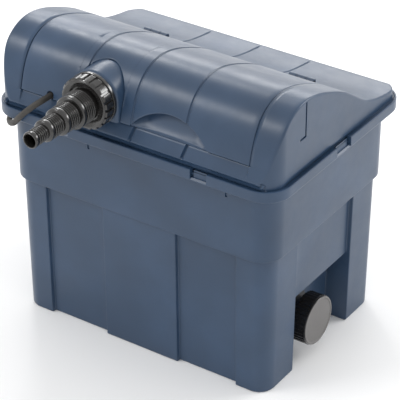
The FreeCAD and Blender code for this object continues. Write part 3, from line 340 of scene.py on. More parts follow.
def material(name):
    """A new node material: its tree, its Principled shader and object coordinates."""
    made = bpy.data.materials.get(name) or bpy.data.materials.new(name)
    made.use_nodes = True
    tree = made.node_tree
    tree.nodes.clear()
    shader = add(tree, "ShaderNodeBsdfPrincipled")
    add(tree, "ShaderNodeOutputMaterial", {"Surface": shader.outputs["BSDF"]})
    place = add(tree, "ShaderNodeTexCoord").outputs["Object"]
    return made, tree, shader, place


def moulded(name, tones, roughness, spread, grain_mm, grain_rise, ior=1.5, coat=0.0):
    """A moulded plastic: slow flow mottling between tones, a fine spark-eroded grain as bump,
    and patches rubbed a little smoother or duller."""
    made, tree, shader, place = material(name)
    flow = add(tree, "ShaderNodeTexNoise", {
        "Vector": place, "Scale": 1 / (90 * MM), "Detail": 4.0, "Roughness": 0.55})
    mottle = [(0.3, tones[0]), (0.5, tones[1]), (0.72, tones[2])]
    tree.links.new(ramp(tree, flow.outputs["Fac"], mottle), shader.inputs["Base Color"])
    rubbed = add(tree, "ShaderNodeTexNoise", {
        "Vector": place, "Scale": 1 / (22 * MM), "Detail": 5.0, "Roughness": 0.6})
    dull = add(tree, "ShaderNodeMapRange", {
        "Value": rubbed.outputs["Fac"], "From Min": 0.3, "From Max": 0.7,
        "To Min": roughness - spread, "To Max": roughness + spread})
    tree.links.new(dull.outputs["Result"], shader.inputs["Roughness"])
    grain = add(tree, "ShaderNodeTexNoise", {
        "Vector": place, "Scale": 1 / (grain_mm * MM), "Detail": 2.0, "Roughness": 0.5})
    bump = add(tree, "ShaderNodeBump", {
        "Height": grain.outputs["Fac"], "Strength": 0.35, "Distance": grain_rise * MM})
    tree.links.new(bump.outputs["Normal"], shader.inputs["Normal"])
    shader.inputs["IOR"].default_value = ior
    shader.inputs["Coat Weight"].default_value = coat
    shader.inputs["Coat Roughness"].default_value = 0.25
    return made


def blue_polypropylene(colour):
    """Satin polypropylene, moulded in a lightly spark-eroded tool: blue-grey through and
    through, with broad soft highlights and faint flow mottling. The grain is drawn at 1.6 mm,
    coarser than the real 0.3 mm, so that it shows."""
    return moulded("moulded_polypropylene_blue_grey", colour, 0.36, 0.05, 1.6, 0.05, ior=1.47, coat=0.1)


def black_abs():
    """ABS moulded in a polished tool: deep black with tight, bright reflections."""
    return moulded("polished_abs_black", ("#161514", "#1B1A19", "#211F1E"), 0.17, 0.04, 1.1, 0.015,
                   ior=1.5, coat=0.6)


def cap_face_painted_reflection():
    """The same black ABS on the cap's face, where the tool is etched: a dull, even face whose lighter grey
    tones are a painted reflection of the sky on it.
    """
    return moulded("etched_abs_black", ("#5C5A59", "#636160", "#6A6867"), 0.42, 0.05, 1.0, 0.08)


def black_pvc():
    """Extruded PVC pipe: near black and satin, a little grey."""
    return moulded("extruded_pvc_black", ("#1B1C1E", "#222326", "#292A2D"), 0.34, 0.06, 1.4, 0.04)


def grey_polypropylene():
    """Natural grey polypropylene: softly translucent looking, waxy sheen."""
    return moulded("moulded_polypropylene_grey", ("#565A5E", "#5F6367", "#686C70"), 0.42, 0.06, 1.4, 0.05)


def seal_rubber():
    """Moulded EPDM seal rubber: matt black with a slight bloom."""
    return moulded("moulded_epdm_black", ("#141414", "#1A1A1A", "#222221"), 0.7, 0.08, 0.9, 0.05)


def cable_sheath():
    """Extruded rubber sheath, H07RN type: dark grey-brown and matt, with fine drawn ribs every
    3 mm along it from the extruder, drawn coarser than they are."""
    made, tree, shader, place = material("extruded_rubber_sheath")
    dust = add(tree, "ShaderNodeTexNoise", {
        "Vector": place, "Scale": 1 / (14 * MM), "Detail": 4.0, "Roughness": 0.6})
    soot = [(0.3, "#2B2825"), (0.55, "#35322E"), (0.8, "#454039")]
    tree.links.new(ramp(tree, dust.outputs["Fac"], soot), shader.inputs["Base Color"])
    drawn = add(tree, "ShaderNodeTexNoise", {
        "Vector": place, "Scale": 1 / (3 * MM), "Detail": 3.0, "Roughness": 0.6})
    bump = add(tree, "ShaderNodeBump", {
        "Height": drawn.outputs["Fac"], "Strength": 0.4, "Distance": 0.12 * MM})
    tree.links.new(bump.outputs["Normal"], shader.inputs["Normal"])
    shader.inputs["Roughness"].default_value = 0.58
    return made


def filter_foam(name, dark, light, cell_mm):
    """Reticulated polyurethane foam: bright struts, with the open cells between them painted dark as
    painted shade inside the pores.
    """
    made, tree, shader, place = material(name)
    cells = add(tree, "ShaderNodeTexVoronoi", {
        "Vector": place, "Scale": 1 / (cell_mm * MM), "Randomness": 1.0},
        feature="DISTANCE_TO_EDGE")
    # light colour at the cell edges, dark colour in the cell middles: painted shade in the open pores
    tree.links.new(ramp(tree, cells.outputs["Distance"], [(0.02, light), (0.35, dark)]),
                   shader.inputs["Base Color"])
    sink = add(tree, "ShaderNodeBump", {
        "Height": cells.outputs["Distance"], "Strength": 1.0, "Distance": 0.9 * MM}, invert=True)
    tree.links.new(sink.outputs["Normal"], shader.inputs["Normal"])
    shader.inputs["Roughness"].default_value = 0.9
    shader.inputs["Sheen Weight"].default_value = 0.3
    return made


def unglazed_ceramic():
    """Porous fired clay: pale, dry and speckled."""
    made, tree, shader, place = material("unglazed_ceramic")
    speck = add(tree, "ShaderNodeTexNoise", {
        "Vector": place, "Scale": 1 / (4 * MM), "Detail": 8.0, "Roughness": 0.7})
    clay = [(0.3, "#B9AF9C"), (0.55, "#DDD6C8"), (0.8, "#EAE5DA")]
    tree.links.new(ramp(tree, speck.outputs["Fac"], clay), shader.inputs["Base Color"])
    pits = add(tree, "ShaderNodeBump", {
        "Height": speck.outputs["Fac"], "Strength": 0.6, "Distance": 0.4 * MM})
    tree.links.new(pits.outputs["Normal"], shader.inputs["Normal"])
    shader.inputs["Roughness"].default_value = 0.88
    return made


def quartz_glass():
    """Clear fused quartz: colourless, with faint drawn waves along it."""
    made, tree, shader, place = material("fused_quartz")
    wave = add(tree, "ShaderNodeTexNoise", {
        "Vector": place, "Scale": 1 / (30 * MM), "Detail": 2.0})
    tree.links.new(ramp(tree, wave.outputs["Fac"], [(0.3, "#E9F0F4"), (0.7, "#F6FAFC")]),
                   shader.inputs["Base Color"])
    shader.inputs["Transmission Weight"].default_value = 0.92
    shader.inputs["Roughness"].default_value = 0.04
    shader.inputs["IOR"].default_value = 1.46
    return made


def stainless_steel():
    """Cold-drawn stainless steel: grey metal with fine lines along X."""
    made, tree, shader, place = material("drawn_stainless_steel")
    stretch = add(tree, "ShaderNodeMapping", {"Vector": place, "Scale": (0.08, 1.0, 1.0)})
    scratch = add(tree, "ShaderNodeTexNoise", {
        "Vector": stretch.outputs["Vector"], "Scale": 1 / (0.8 * MM), "Detail": 3.0})
    tree.links.new(ramp(tree, scratch.outputs["Fac"], [(0.3, "#8E8F91"), (0.7, "#B9BABC")]),
                   shader.inputs["Base Color"])
    dull = add(tree, "ShaderNodeMapRange", {
        "Value": scratch.outputs["Fac"], "To Min": 0.22, "To Max": 0.4})
    tree.links.new(dull.outputs["Result"], shader.inputs["Roughness"])
    shader.inputs["Metallic"].default_value = 1.0
    return made


def floor_paint():
    """Matt white studio floor with the faintest unevenness."""
    made, tree, shader, place = material("matt_white_studio_floor")
    cloud = add(tree, "ShaderNodeTexNoise", {"Vector": place, "Scale": 1.5, "Detail": 2.0})
    tree.links.new(ramp(tree, cloud.outputs["Fac"], [(0.3, "#F4F4F4"), (0.7, "#FAFAFA")]),
                   shader.inputs["Base Color"])
    shader.inputs["Roughness"].default_value = 0.9
    return made


# ---------------------------------------------------------------- the lid's long profile
def lid_path():
    """The lid's long profile from the front foot, over the hump, to the rear foot: dense
    points, distance along, and outward directions across it."""
    hump = smooth_through(HUMP, 1600)
    dense = [np.array(LEDGE, float), hump, np.array(REAR_EDGE, float)]
    corner = np.concatenate(dense)
    step = np.linalg.norm(np.diff(corner, axis=0), axis=1)
    raw = np.concatenate([[0.0], np.cumsum(step)])
    s = np.linspace(0, raw[-1], 4200)
    yz = np.stack([np.interp(s, raw, corner[:, k]) for k in (0, 1)], axis=1)
    along = np.gradient(yz, axis=0)
    wide = 9
    kernel = np.ones(wide) / wide
    padded = np.pad(along, ((wide // 2, wide // 2), (0, 0)), mode="edge")
    along = np.stack([np.convolve(padded[:, k], kernel, mode="valid") for k in (0, 1)], axis=1)
    along /= np.linalg.norm(along, axis=1)[:, None]
    out = np.stack([-along[:, 1], along[:, 0]], axis=1)
    return s, yz, out


PATH_S, PATH_YZ, PATH_OUT = lid_path()
CREST = int(np.argmax(PATH_YZ[:, 1]))


def on_path(s):
    """Place and outward direction on the long profile at distances s."""
    yz = np.stack([np.interp(s, PATH_S, PATH_YZ[:, k]) for k in (0, 1)], axis=-1)
    out = np.stack([np.interp(s, PATH_S, PATH_OUT[:, k]) for k in (0, 1)], axis=-1)
    return yz, out / np.linalg.norm(out, axis=-1)[..., None]


def at_front_height(z):
    """Distance along the profile where its front face reaches height z."""
    front = slice(6, CREST)
    return np.interp(z, PATH_YZ[front, 1], PATH_S[front])


def at_depth(y):
    """Distance along the profile, past its front face, where it reaches y."""
    front = int(np.searchsorted(PATH_S, at_front_height(302.0)))
    rear = int(np.argmax(PATH_YZ[:, 0] > 135.9))
    return np.interp(y, PATH_YZ[front:rear, 0], PATH_S[front:rear])


S_PARTING = float(at_front_height(PARTING))
S_BAY_REAR = float(at_depth(BAY_REAR))
S_END = float(PATH_S[-1])


# ---------------------------------------------------------------- tank
def tank_depth(x, y, side, z, inner):
    """How far a wall is set back at height z: panels between the posts, the alcove in the
    right end, and on the outside of the front band two small pips. Each is the least of one
    rounded step per edge, and together they are the most of them all."""
    grow = WALL if inner else 0.0
    depth = np.zeros(np.broadcast(x, z).shape)
    top = recess(PANEL_TOP + grow - z, PANEL_DEEP)
    ends = (side == 0) | (side == 2)
    long = (side == 1) | (side == 3)
    panel = np.minimum(recess(POST_ENDS + grow - np.abs(y), PANEL_DEEP), top)
    depth = np.where(ends, panel, depth)
    for low, high in LONG_PANELS:
        panel = np.minimum(recess(x - low + grow, PANEL_DEEP), recess(high + grow - x, PANEL_DEEP))
        depth = np.where(long, np.maximum(depth, np.minimum(panel, top)), depth)
    alcove = np.minimum(recess(POST_ENDS + grow - np.abs(y), ALCOVE_DEEP),
                        recess(ALCOVE_TOP + grow - z, ALCOVE_DEEP))
    depth = np.where(side == 0, np.maximum(depth, alcove), depth)
    if not inner:
        for middle in PIPS:
            pip = (np.abs(x - middle) < PIP_HALF) & (z > PIP_LOW) & (z < PIP_HIGH)
            depth = np.where((side == 3) & pip, PIP_DEEP, depth)
    return depth


def tank_skin():
    """Point = outline(s) + outward(s) * (offset(z) - set-back(s, z)), up the outside, over the
    flange and down the inside. The offset grows with the draft and steps out at the band."""
    ends = [sign * (POST_ENDS + grow) for sign in (-1, 1) for grow in (0.0, WALL)]
    sides = [edge + sign * grow for low, high in LONG_PANELS for grow in (0.0, WALL)
             for edge, sign in ((low, -1), (high, 1))]
    long_marks, end_marks = edge_marks(*sides), edge_marks(*ends)
    front_marks = list(long_marks)
    for middle in PIPS:
        front_marks += [middle + d for d in (-1.35, -1.0, 1.0, 1.35)]
    marks = {0: end_marks, 1: long_marks, 2: end_marks, 3: front_marks}
    base, out, side = plan_outline(TANK_X, TANK_Y, TANK_CORNER, marks)

    def lean(z):
        return np.where(z < BAND_Z, DRAFT * z / BAND_Z,
                        DRAFT + BAND_OUT + BAND_LEAN * (z - BAND_Z) / (FLANGE_TOP - BAND_Z))

    low_z = lines(2.0, BAND_Z - 0.02, ROW_PITCH, edge_marks(ALCOVE_TOP, PANEL_TOP))
    band_marks = [PIP_LOW - 0.2, PIP_LOW + 0.1, PIP_HIGH - 0.1, PIP_HIGH + 0.2]
    band_z = lines(BAND_Z + 1.2, FLANGE_LOW - 0.3, ROW_PITCH, band_marks)
    step = float(lean(BAND_Z + 0.1))
    rows = [(0.0, -1.3), (0.15, -0.8), (0.5, -0.35), (1.1, -0.05)]
    rows += [(z, float(lean(z))) for z in low_z]
    rows += [(BAND_Z, DRAFT + 0.3), (BAND_Z, step - 0.8), (BAND_Z + 0.2, step - 0.3)]
    rows += [(BAND_Z + 0.6, step - 0.05)]
    rows += [(z, float(lean(z))) for z in band_z]
    rows += [(FLANGE_LOW, float(lean(FLANGE_LOW)) + 0.3), (FLANGE_LOW, FLANGE_OUT - 0.5),
             (FLANGE_LOW + 0.5, FLANGE_OUT), (FLANGE_TOP - 0.6, FLANGE_OUT),
             (FLANGE_TOP, FLANGE_OUT - 0.6)]
    outer_count = len(rows)
    inner_marks = edge_marks(ALCOVE_TOP + WALL, PANEL_TOP + WALL)
    inner_low = lines(WALL + 1.5, BAND_Z + WALL, ROW_PITCH, inner_marks)
    inner_low = inner_low[inner_low < BAND_Z + WALL - 0.05]
    rows += [(FLANGE_TOP, float(lean(FLANGE_TOP)) - WALL + 0.5),
             (FLANGE_TOP - 0.5, float(lean(FLANGE_TOP)) - WALL)]
    rows += [(z, float(lean(z)) - WALL) for z in (250.0, 220.0, BAND_Z + WALL + 1.0)]
    rows += [(BAND_Z + WALL, step - WALL - 1.0), (BAND_Z + WALL, DRAFT - WALL)]
    rows += [(z, float(DRAFT * z / BAND_Z) - WALL) for z in inner_low[::-1]]
    rows += [(WALL + 0.5, -WALL - 0.4), (WALL, -WALL - 1.5)]
    z, offset = np.array(rows).T
    inner = np.arange(len(z)) >= outer_count
    x, y = base[:, 0][None, :], base[:, 1][None, :]
    inside, outside = (tank_depth(x, y, side[None, :], z[:, None], each) for each in (True, False))
    set_back = np.where(inner[:, None], inside, outside)
    reach = offset[:, None] - set_back
    plan = base[None, :, :] + out[None, :, :] * reach[..., None]
    points = np.concatenate([plan, np.repeat(z[:, None, None], len(base), axis=1)], axis=2)
    return patch(points, wrap=(False, True), ends=True)


# ---------------------------------------------------------------- lid
def rim_skin():
    """Point = outline(s) + outward(s) * offset(t), at height(t), for a closed section of
    bead, gutter and skirt. At the two thumb notches and the two snap windows in front, all but
    the sill at the foot is set back, and along one side of each a slot goes deeper."""
    marks = {0: [m + d for m in (NOTCH[0], NOTCH[1] - SLOT_WIDE, NOTCH[1]) for d in (-0.15, 0.15)]}
    marks[2] = marks[0]
    marks[3] = [m + e + d for m in SNAPS for e in (-SNAP_HALF, SLOT_WIDE - SNAP_HALF, SNAP_HALF)
                for d in (-0.15, 0.15)]
    base, out, side = plan_outline(RIM_X, RIM_Y, RIM_CORNER, marks, pitch=20.0, arc=18)
    section = [
        (-9.0, 278.0), (-3.2, 278.0), (-2.6, 278.4), (-2.1, 279.0), (-1.7, 279.1),
        (-1.0, 279.1), (-0.4, 278.9), (-0.05, 278.2), (0.0, 277.4),
        (0.0, 268.4), (0.0, 267.9), (0.0, 267.5),
        (-0.15, 266.3), (-0.6, 265.75), (-1.2, 265.6), (-2.2, 265.6), (-2.8, 265.9),
        (-3.0, 266.6), (-3.0, 275.2), (-3.3, 275.9), (-4.0, 276.1), (-9.0, 276.1),
    ]
    offset, z = np.array(section).T
    x, y = base.T
    off = np.where(np.abs(x - SNAPS[0]) < 20, x - SNAPS[0], x - SNAPS[1])
    window = (side == 3) & (np.abs(off) < SNAP_HALF)
    notch = ((side == 0) | (side == 2)) & (y > NOTCH[0]) & (y < NOTCH[1])
    slot = window & (off < SLOT_WIDE - SNAP_HALF) | notch & (y > NOTCH[1] - SLOT_WIDE)
    floor = np.where(slot, -SLOT_DEEP, -WINDOW_DEEP)[None, :]
    above, sill = (z > SILL_TO)[:, None], ((z > SILL_FROM) & (z < SILL_TO))[:, None]
    opened = (window | notch)[None, :] & (offset[:, None] > floor)
    reach = np.where(opened & above, floor, offset[:, None])
    reach = np.where(opened & sill, -SILL_OUT, reach)
    height = np.where(opened & (sill | above & (z < SILL_LIP)[:, None]), SILL_Z, z[:, None])
    plan = base[None] + out[None] * reach[..., None]
    points = np.concatenate([plan, height[..., None]], axis=2)
    return patch(points, wrap=(True, True))


def plan_edge(y):
    """Half length of the lid's crown at y: straight ends with rounded plan corners."""
    over = np.clip(PLAN_CORNER - (PLAN_REACH - np.abs(y)), 0, PLAN_CORNER)
    across = np.sqrt(PLAN_CORNER ** 2 - over ** 2)
    return END_X - PLAN_CORNER + across, across / PLAN_CORNER


def crown_skin():
    """The lid's crown. Along the length it is the long profile carried over X; past the end
    edges it turns down over a fillet, on which the point is profile - outward * r(1 - cos a),
    and runs as straight lines from the fillet to the foot of each end face. Quads in the bay
    under the hinged cover are dropped."""
    slit = [SLIT_Y - 0.25, SLIT_Y, SLIT_Y + SLIT_WIDE, SLIT_Y + SLIT_WIDE + 0.25,
            SLIT_Y - SLIT_HOOK - 0.25, SLIT_Y - SLIT_HOOK]
    marks = [S_PARTING, S_BAY_REAR] + [float(at_depth(y)) for y in slit]
    marks += [S_PARTING - 1.0, S_PARTING - 0.35, S_BAY_REAR + 0.4]
    s = np.concatenate([np.linspace(0, S_PARTING, 26)[:-1],
                        lines(S_PARTING, S_END - 10, 3.2, marks),
                        np.linspace(S_END - 10, S_END, 14)[1:]])
    s = np.unique(np.round(np.concatenate([s, marks]), 4))
    yz, out = on_path(s)
    y, z = yz[:, 0], yz[:, 1]
    edge, facing = plan_edge(y)
    radius = 2.4 * facing

    mid = lines(-BAY_X, BAY_X, 12.0, [-151.6, -150.4, 150.4, 151.6] + [
        r + d for r in RIBS_X for d in RIB_MARKS])
    deck = groove(np.abs(mid[:, None] - np.array(RIBS_X)).min(axis=1), 1.9, 1.2)
    slots = groove(np.abs(mid[:, None] - np.array(RIBS_X[1:])).min(axis=1), 3.0, 3.0)
    rear = np.clip((y - BAY_REAR - 2) / 2, 0, 1) * np.clip((128 - y) / 3, 0, 1)
    ledge = (s <= S_PARTING + 0.01) * np.clip((s - 7) / 1.5, 0, 1)
    sink = rear[:, None] * deck[None, :] + ledge[:, None] * slots[None, :]
    climb = np.clip((s - 8) / (S_PARTING - 8), 0, 1) * (s <= S_PARTING + 0.01)
    gap = np.clip(1 - (S_PARTING - s) / 1.5, 0, 1) * (s <= S_PARTING + 0.01)
    near = np.exp(-((mid[:, None] - np.array(RIBS_X[1:])) / 12.0) ** 2).sum(axis=1)
    lean = 3.5 * climb[:, None] * near[None, :]
    tuck = (3.2 * climb + 2.2 * gap)[:, None] * np.clip((151.6 - np.abs(mid)) / 1.2, 0, 1)[None, :]
    # the ledge and the deck drop away a little where they meet the cover, as a soft edge
    lip = 0.5 * np.clip(1 - np.abs(s - S_PARTING) / 1.0, 0, 1) ** 2
    lip = np.maximum(lip, 0.5 * np.clip(1 - np.abs(s - S_BAY_REAR) / 0.6, 0, 1) ** 2)
    sink = sink + lip[:, None]
    mid_points = np.stack([mid[None, :] + lean,
                           y[:, None] - out[:, :1] * sink + tuck,
                           z[:, None] - out[:, 1:] * sink], axis=-1)

    share = np.linspace(0, 1, 7)[None, 1:]
    end_x = BAY_X + (edge - radius - BAY_X)[:, None] * share
    end_points = np.stack([end_x, np.repeat(y[:, None], share.shape[1], axis=1),
                           np.repeat(z[:, None], share.shape[1], axis=1)], axis=-1)
    angle = np.linspace(0, math.pi / 2, 7)[None, 1:]
    inset = radius[:, None] * (1 - np.cos(angle))
    fillet_y = y[:, None] - out[:, :1] * inset
    fillet_z = z[:, None] - out[:, 1:] * inset
    fillet_x = plan_edge(fillet_y)[0] - radius[:, None] * (1 - np.sin(angle))
    fillet_points = np.stack([fillet_x, fillet_y, fillet_z], axis=-1)

    foot_at = [0.0, 4.7, 9.5, S_PARTING, float(at_depth(-124)), float(at_depth(-108)),
               float(at_depth(-88)), float(at_depth(130)), S_END]
    foot_to = [-134.5, -131.0, -126.0, -119.0, -112.0, -103.0, -88.0, 130.0, 136.0]
    foot_y = np.interp(s, foot_at, foot_to)
    straight = (y > -88) & (s > S_PARTING) & (y < 130)
    foot_y = np.where(straight, fillet_y[:, -1], foot_y)
    hook = [0.468, 0.4705, 0.4975, 0.5]
    fall = np.array([0.02, 0.08, 0.16, 0.26, 0.36, 0.43] + hook + [0.56, 0.66, 0.78, 0.9, 1.0])
    face_y = fillet_y[:, -1:] + (foot_y[:, None] - fillet_y[:, -1:]) * fall
    face_z = fillet_z[:, -1:] + (276.6 - fillet_z[:, -1:]) * fall
    in_slit = (face_y > SLIT_Y - 0.05) & (face_y < SLIT_Y + SLIT_WIDE + 0.05)
    in_hook = (face_y > SLIT_Y - SLIT_HOOK - 0.05) & (face_y < SLIT_Y + SLIT_WIDE + 0.05)
    cut = (in_slit & (fall < 0.4985)) | (in_hook & (fall > 0.47) & (fall < 0.4985))
    face_x = plan_edge(face_y)[0] - 2.4 * cut
    face_points = np.stack([face_x, face_y, face_z], axis=-1)

    right = np.concatenate([end_points, fillet_points, face_points], axis=1)
    left = right[:, ::-1] * np.array([-1.0, 1.0, 1.0])
    points = np.concatenate([left, mid_points, right], axis=1)
    first = left.shape[1]
    keep = np.ones((len(s) - 1, points.shape[1] - 1), bool)
    centre = (s[:-1] + s[1:]) / 2
    bay = (centre > S_PARTING) & (centre < S_BAY_REAR)
    keep[bay, first:first + len(mid) - 1] = False
    return patch(points, keep=keep)


def bay_skin():
    """The tub under the cover: a rounded rectangle carried from its floor up to walls whose
    tops follow the long profile a little below the crown."""
    middle_y = (BAY_REAR - BAY_FRONT) / 2
    base, _, side = plan_outline(BAY_X - 0.05, (BAY_REAR + BAY_FRONT) / 2, 4.0, {}, pitch=8.0, arc=6)
    y = base[:, 1] + middle_y
    top = np.interp(y, PATH_YZ[40:, 0], PATH_YZ[40:, 1]) - 3.2
    top = np.where(side == 3, PARTING - 1.2, np.where(side == 1, PARTING - 0.5, top))
    top = np.where(side == -1, np.minimum(top, PARTING - 0.5), top)
    rows = []
    for shrink, lift in ((0.0, 0.0), (0.5, 0.0), (0.97, 0.0), (0.99, 0.0), (1.0, 0.02)):
        plan = base * shrink
        rows.append(np.stack([plan[:, 0], plan[:, 1] + middle_y,
                              TRAY_TOP + (top - TRAY_TOP) * lift], axis=1))
    for lift in (0.3, 0.6, 0.85, 1.0):
        rows.append(np.stack([base[:, 0], y, TRAY_TOP + (top - TRAY_TOP) * lift], axis=1))
    return patch(np.array(rows), wrap=(False, True))


def cover_skin():
    """The hinged cover: the long profile carried over X and sunk by rib grooves. Its lower edge
    lies at height(x), which arches over the inlet collar and the cable, and a second line over
    the finger scoop splits the rows, so that the scoop's lip is a clean edge. Inside the scoop
    the skin is a bowl whose depth grows with the root of the height over the parting line."""
    radius = (SCOOP_CHORD ** 2 / 4 + SCOOP_RISE ** 2) / (2 * SCOOP_RISE)
    slot_r, lead_r = COLLAR_R + 0.5, 4.6
    marks = [r + d for r in RIBS_X for d in RIB_MARKS]
    marks += list(INLET_X + slot_r * np.sin(np.linspace(-1, 1, 41) * math.pi / 2))
    marks += [INLET_X - slot_r - 0.2, INLET_X + slot_r + 0.2]
    marks += list(CABLE_EXIT[0] + lead_r * np.sin(np.linspace(-1, 1, 13) * math.pi / 2))
    marks += [CABLE_EXIT[0] - lead_r - 0.15, CABLE_EXIT[0] + lead_r + 0.15]
    half = SCOOP_CHORD / 2
    marks += list(SCOOP_X + half * np.sin(np.linspace(-1, 1, 61) * math.pi / 2))
    edge = COVER_X - 0.1
    x = lines(-edge + 1.4, edge - 1.4, 6.0, marks)

    low_z = np.full(len(x), PARTING + 0.35)
    for middle, centre_z, r in ((INLET_X, INLET_Z, slot_r), (CABLE_EXIT[0], CABLE_EXIT[2], lead_r)):
        off = np.abs(x - middle)
        arch = centre_z + np.sqrt(np.clip(r ** 2 - off ** 2, 0, None))
        low_z = np.where(off <= r + 1e-6, arch, low_z)
    start = at_front_height(low_z)
    off = np.abs(x - SCOOP_X)
    arc_z = PARTING + SCOOP_RISE - radius + np.sqrt(np.clip(radius ** 2 - off ** 2, 0, None))
    scooped = off < half - 0.5
    split = np.where(scooped, np.maximum(at_front_height(arc_z), start + 0.9), start + 0.9)
    stop = float(at_depth(COVER_REAR))
    lower = np.concatenate([np.linspace(0, 1, 12) * 0.97, [0.99]])
    upper = np.array([0.0, 0.0016, 0.004, 0.008, 0.014, 0.022, 0.032, 0.045])
    upper = np.concatenate([upper, np.linspace(0.06, 0.985, 74), [0.992, 0.997, 1.0]])
    s = np.concatenate([start[None] + (split - start)[None] * lower[:, None],
                        split[None] + 0.25 + (stop - split - 0.25)[None] * upper[:, None]])
    yz, out = on_path(s)
    sink = groove(np.abs(x[:, None] - np.array(RIBS_X)).min(axis=1), 2.4, 1.5)[None, :]
    above = np.arange(len(s))[:, None] >= len(lower)
    sink = sink * np.where(scooped[None, :] & ~above, 0.0, 1.0)
    soft = 0.8 * np.clip(1 - (s - start[None]) / 1.6, 0, 1) ** 2
    round_lip = np.clip(1 - (s - split[None] - 0.25) / 1.2, 0, 1) ** 2 * 0.5
    sink = sink + np.where(scooped[None, :] & above, round_lip, soft)
    y = yz[..., 0] - out[..., 0] * sink
    z = yz[..., 1] - out[..., 1] * sink
    rise = np.clip(arc_z - PARTING, 0.5, None)[None, :]
    share = np.clip((z - PARTING) / rise, 0, 1)
    bowl = y + (1.0 + 11.5 * np.sqrt(share) * np.clip(rise / 16, 0, 1))
    inside = scooped[None, :] & ~above
    y = np.where(inside, bowl, y)
    grid_x = np.repeat(x[None, :], len(s), axis=0)
    middle = np.stack([grid_x, y, z], axis=-1)

    # both end edges turn down over a fillet into a short flange
    parts = []
    for sign, column in ((-1, 0), (1, -1)):
        at = middle[:, column]
        way = np.stack([np.zeros(len(s)), out[:, column, 0], out[:, column, 1]], axis=-1)
        angle = np.linspace(0, math.pi / 2, 5)[1:]
        shift = [(1.4 * math.sin(a), 1.4 * (1 - math.cos(a))) for a in angle] + [(1.4, 4.0), (1.4, 7.0)]
        band = [at + np.array([sign * dx, 0, 0]) - way * drop for dx, drop in shift]
        parts.append(np.stack(band[::-1] if sign < 0 else band, axis=1))
    return patch(np.concatenate([parts[0], middle, parts[1]], axis=1))


def barrel(x0, x1, foot):
    """A hinge knuckle: a cylinder about the hinge axis that runs off flat into its foot, so the
    section is a circle joined to a short tongue."""
    a = np.linspace(-0.6 * math.pi, 0.9 * math.pi, 22)
    if foot > 0:
        a = math.pi - a
    ring = np.stack([HINGE_Y + KNUCKLE_R * np.cos(a), HINGE_Z + KNUCKLE_R * np.sin(a)], axis=1)
    tongue = np.array([[HINGE_Y + foot * 5.5, HINGE_Z - 1.2], [HINGE_Y + foot * 5.5, HINGE_Z - 4.2]])
    if foot > 0:
        tongue = np.array([[HINGE_Y + 3.1, HINGE_Z - 1.2], [HINGE_Y + 3.1, HINGE_Z - 5.6],
                           [HINGE_Y + 0.4, HINGE_Z - 5.6]])
    section = np.concatenate([ring, tongue])
    rows = []
    for x, shrink in ((x0, 0.9), (x0 + 0.3, 1.0), (x1 - 0.3, 1.0), (x1, 0.9)):
        at = np.array([HINGE_Y, HINGE_Z]) + (section - [HINGE_Y, HINGE_Z]) * shrink
        rows.append(np.concatenate([np.full((len(at), 1), x), at], axis=1))
    return patch(np.array(rows), wrap=(False, True), ends=True)


def collar_skin():
    """The arched collar: an outline of two straight sides and a half circle, carried back from
    a filleted front edge, and closed to the round bore."""
    drop = INLET_Z - PARTING - 0.05
    straight = np.linspace(-drop, 0, 6)[:-1]
    half = np.linspace(0, math.pi, 49)
    outer = np.concatenate([
        np.stack([np.full(5, COLLAR_R), straight], axis=1),
        np.stack([COLLAR_R * np.cos(half), COLLAR_R * np.sin(half)], axis=1),
        np.stack([np.full(5, -COLLAR_R), straight[::-1]], axis=1)])
    away = np.concatenate([np.tile([1.0, 0.0], (5, 1)),
                           np.stack([np.cos(half), np.sin(half)], axis=1),
                           np.tile([-1.0, 0.0], (5, 1))])
    low = math.asin(-drop / (SPIGOT_R + 0.2))
    a = np.linspace(low, math.pi - low, len(outer))
    bore = (SPIGOT_R + 0.2) * np.stack([np.cos(a), np.sin(a)], axis=1)
    rows = [(outer * 0.94, COLLAR_BACK + 5.5), (outer * 0.985, COLLAR_BACK + 1.5),
            (outer, COLLAR_BACK), (outer, -118.0), (outer, COLLAR_FRONT + 4.5)]
    for angle in np.linspace(0, math.pi / 2, 7)[1:]:
        rows.append((outer - away * 4.5 * (1 - math.cos(angle)),
                     COLLAR_FRONT + 4.5 * (1 - math.sin(angle))))
    rows += [(bore + (outer - away * 4.5 - bore) * 0.5, COLLAR_FRONT), (bore, COLLAR_FRONT),
             (bore, COLLAR_BACK + 5.5)]
    points = np.array([np.stack([INLET_X + p[:, 0], np.full(len(p), y), INLET_Z + p[:, 1]], axis=1)
                       for p, y in rows])
    flat, faces = patch(points, wrap=(True, False))
    count, cols = points.shape[:2]
    first = [k * cols for k in range(count)]
    last = [k * cols + cols - 1 for k in range(count)]
    faces.append(first if faces_turn(flat, first, -1) else first[::-1])
    faces.append(last if faces_turn(flat, last, -1) else last[::-1])
    return flat, faces


def faces_turn(flat, loop, sign):
    """Whether the loop's area looks up (+1) or down (-1)."""
    p = flat[loop]
    q = np.roll(p, -1, axis=0)
    return np.cross(p, q).sum(axis=0)[2] * sign > 0


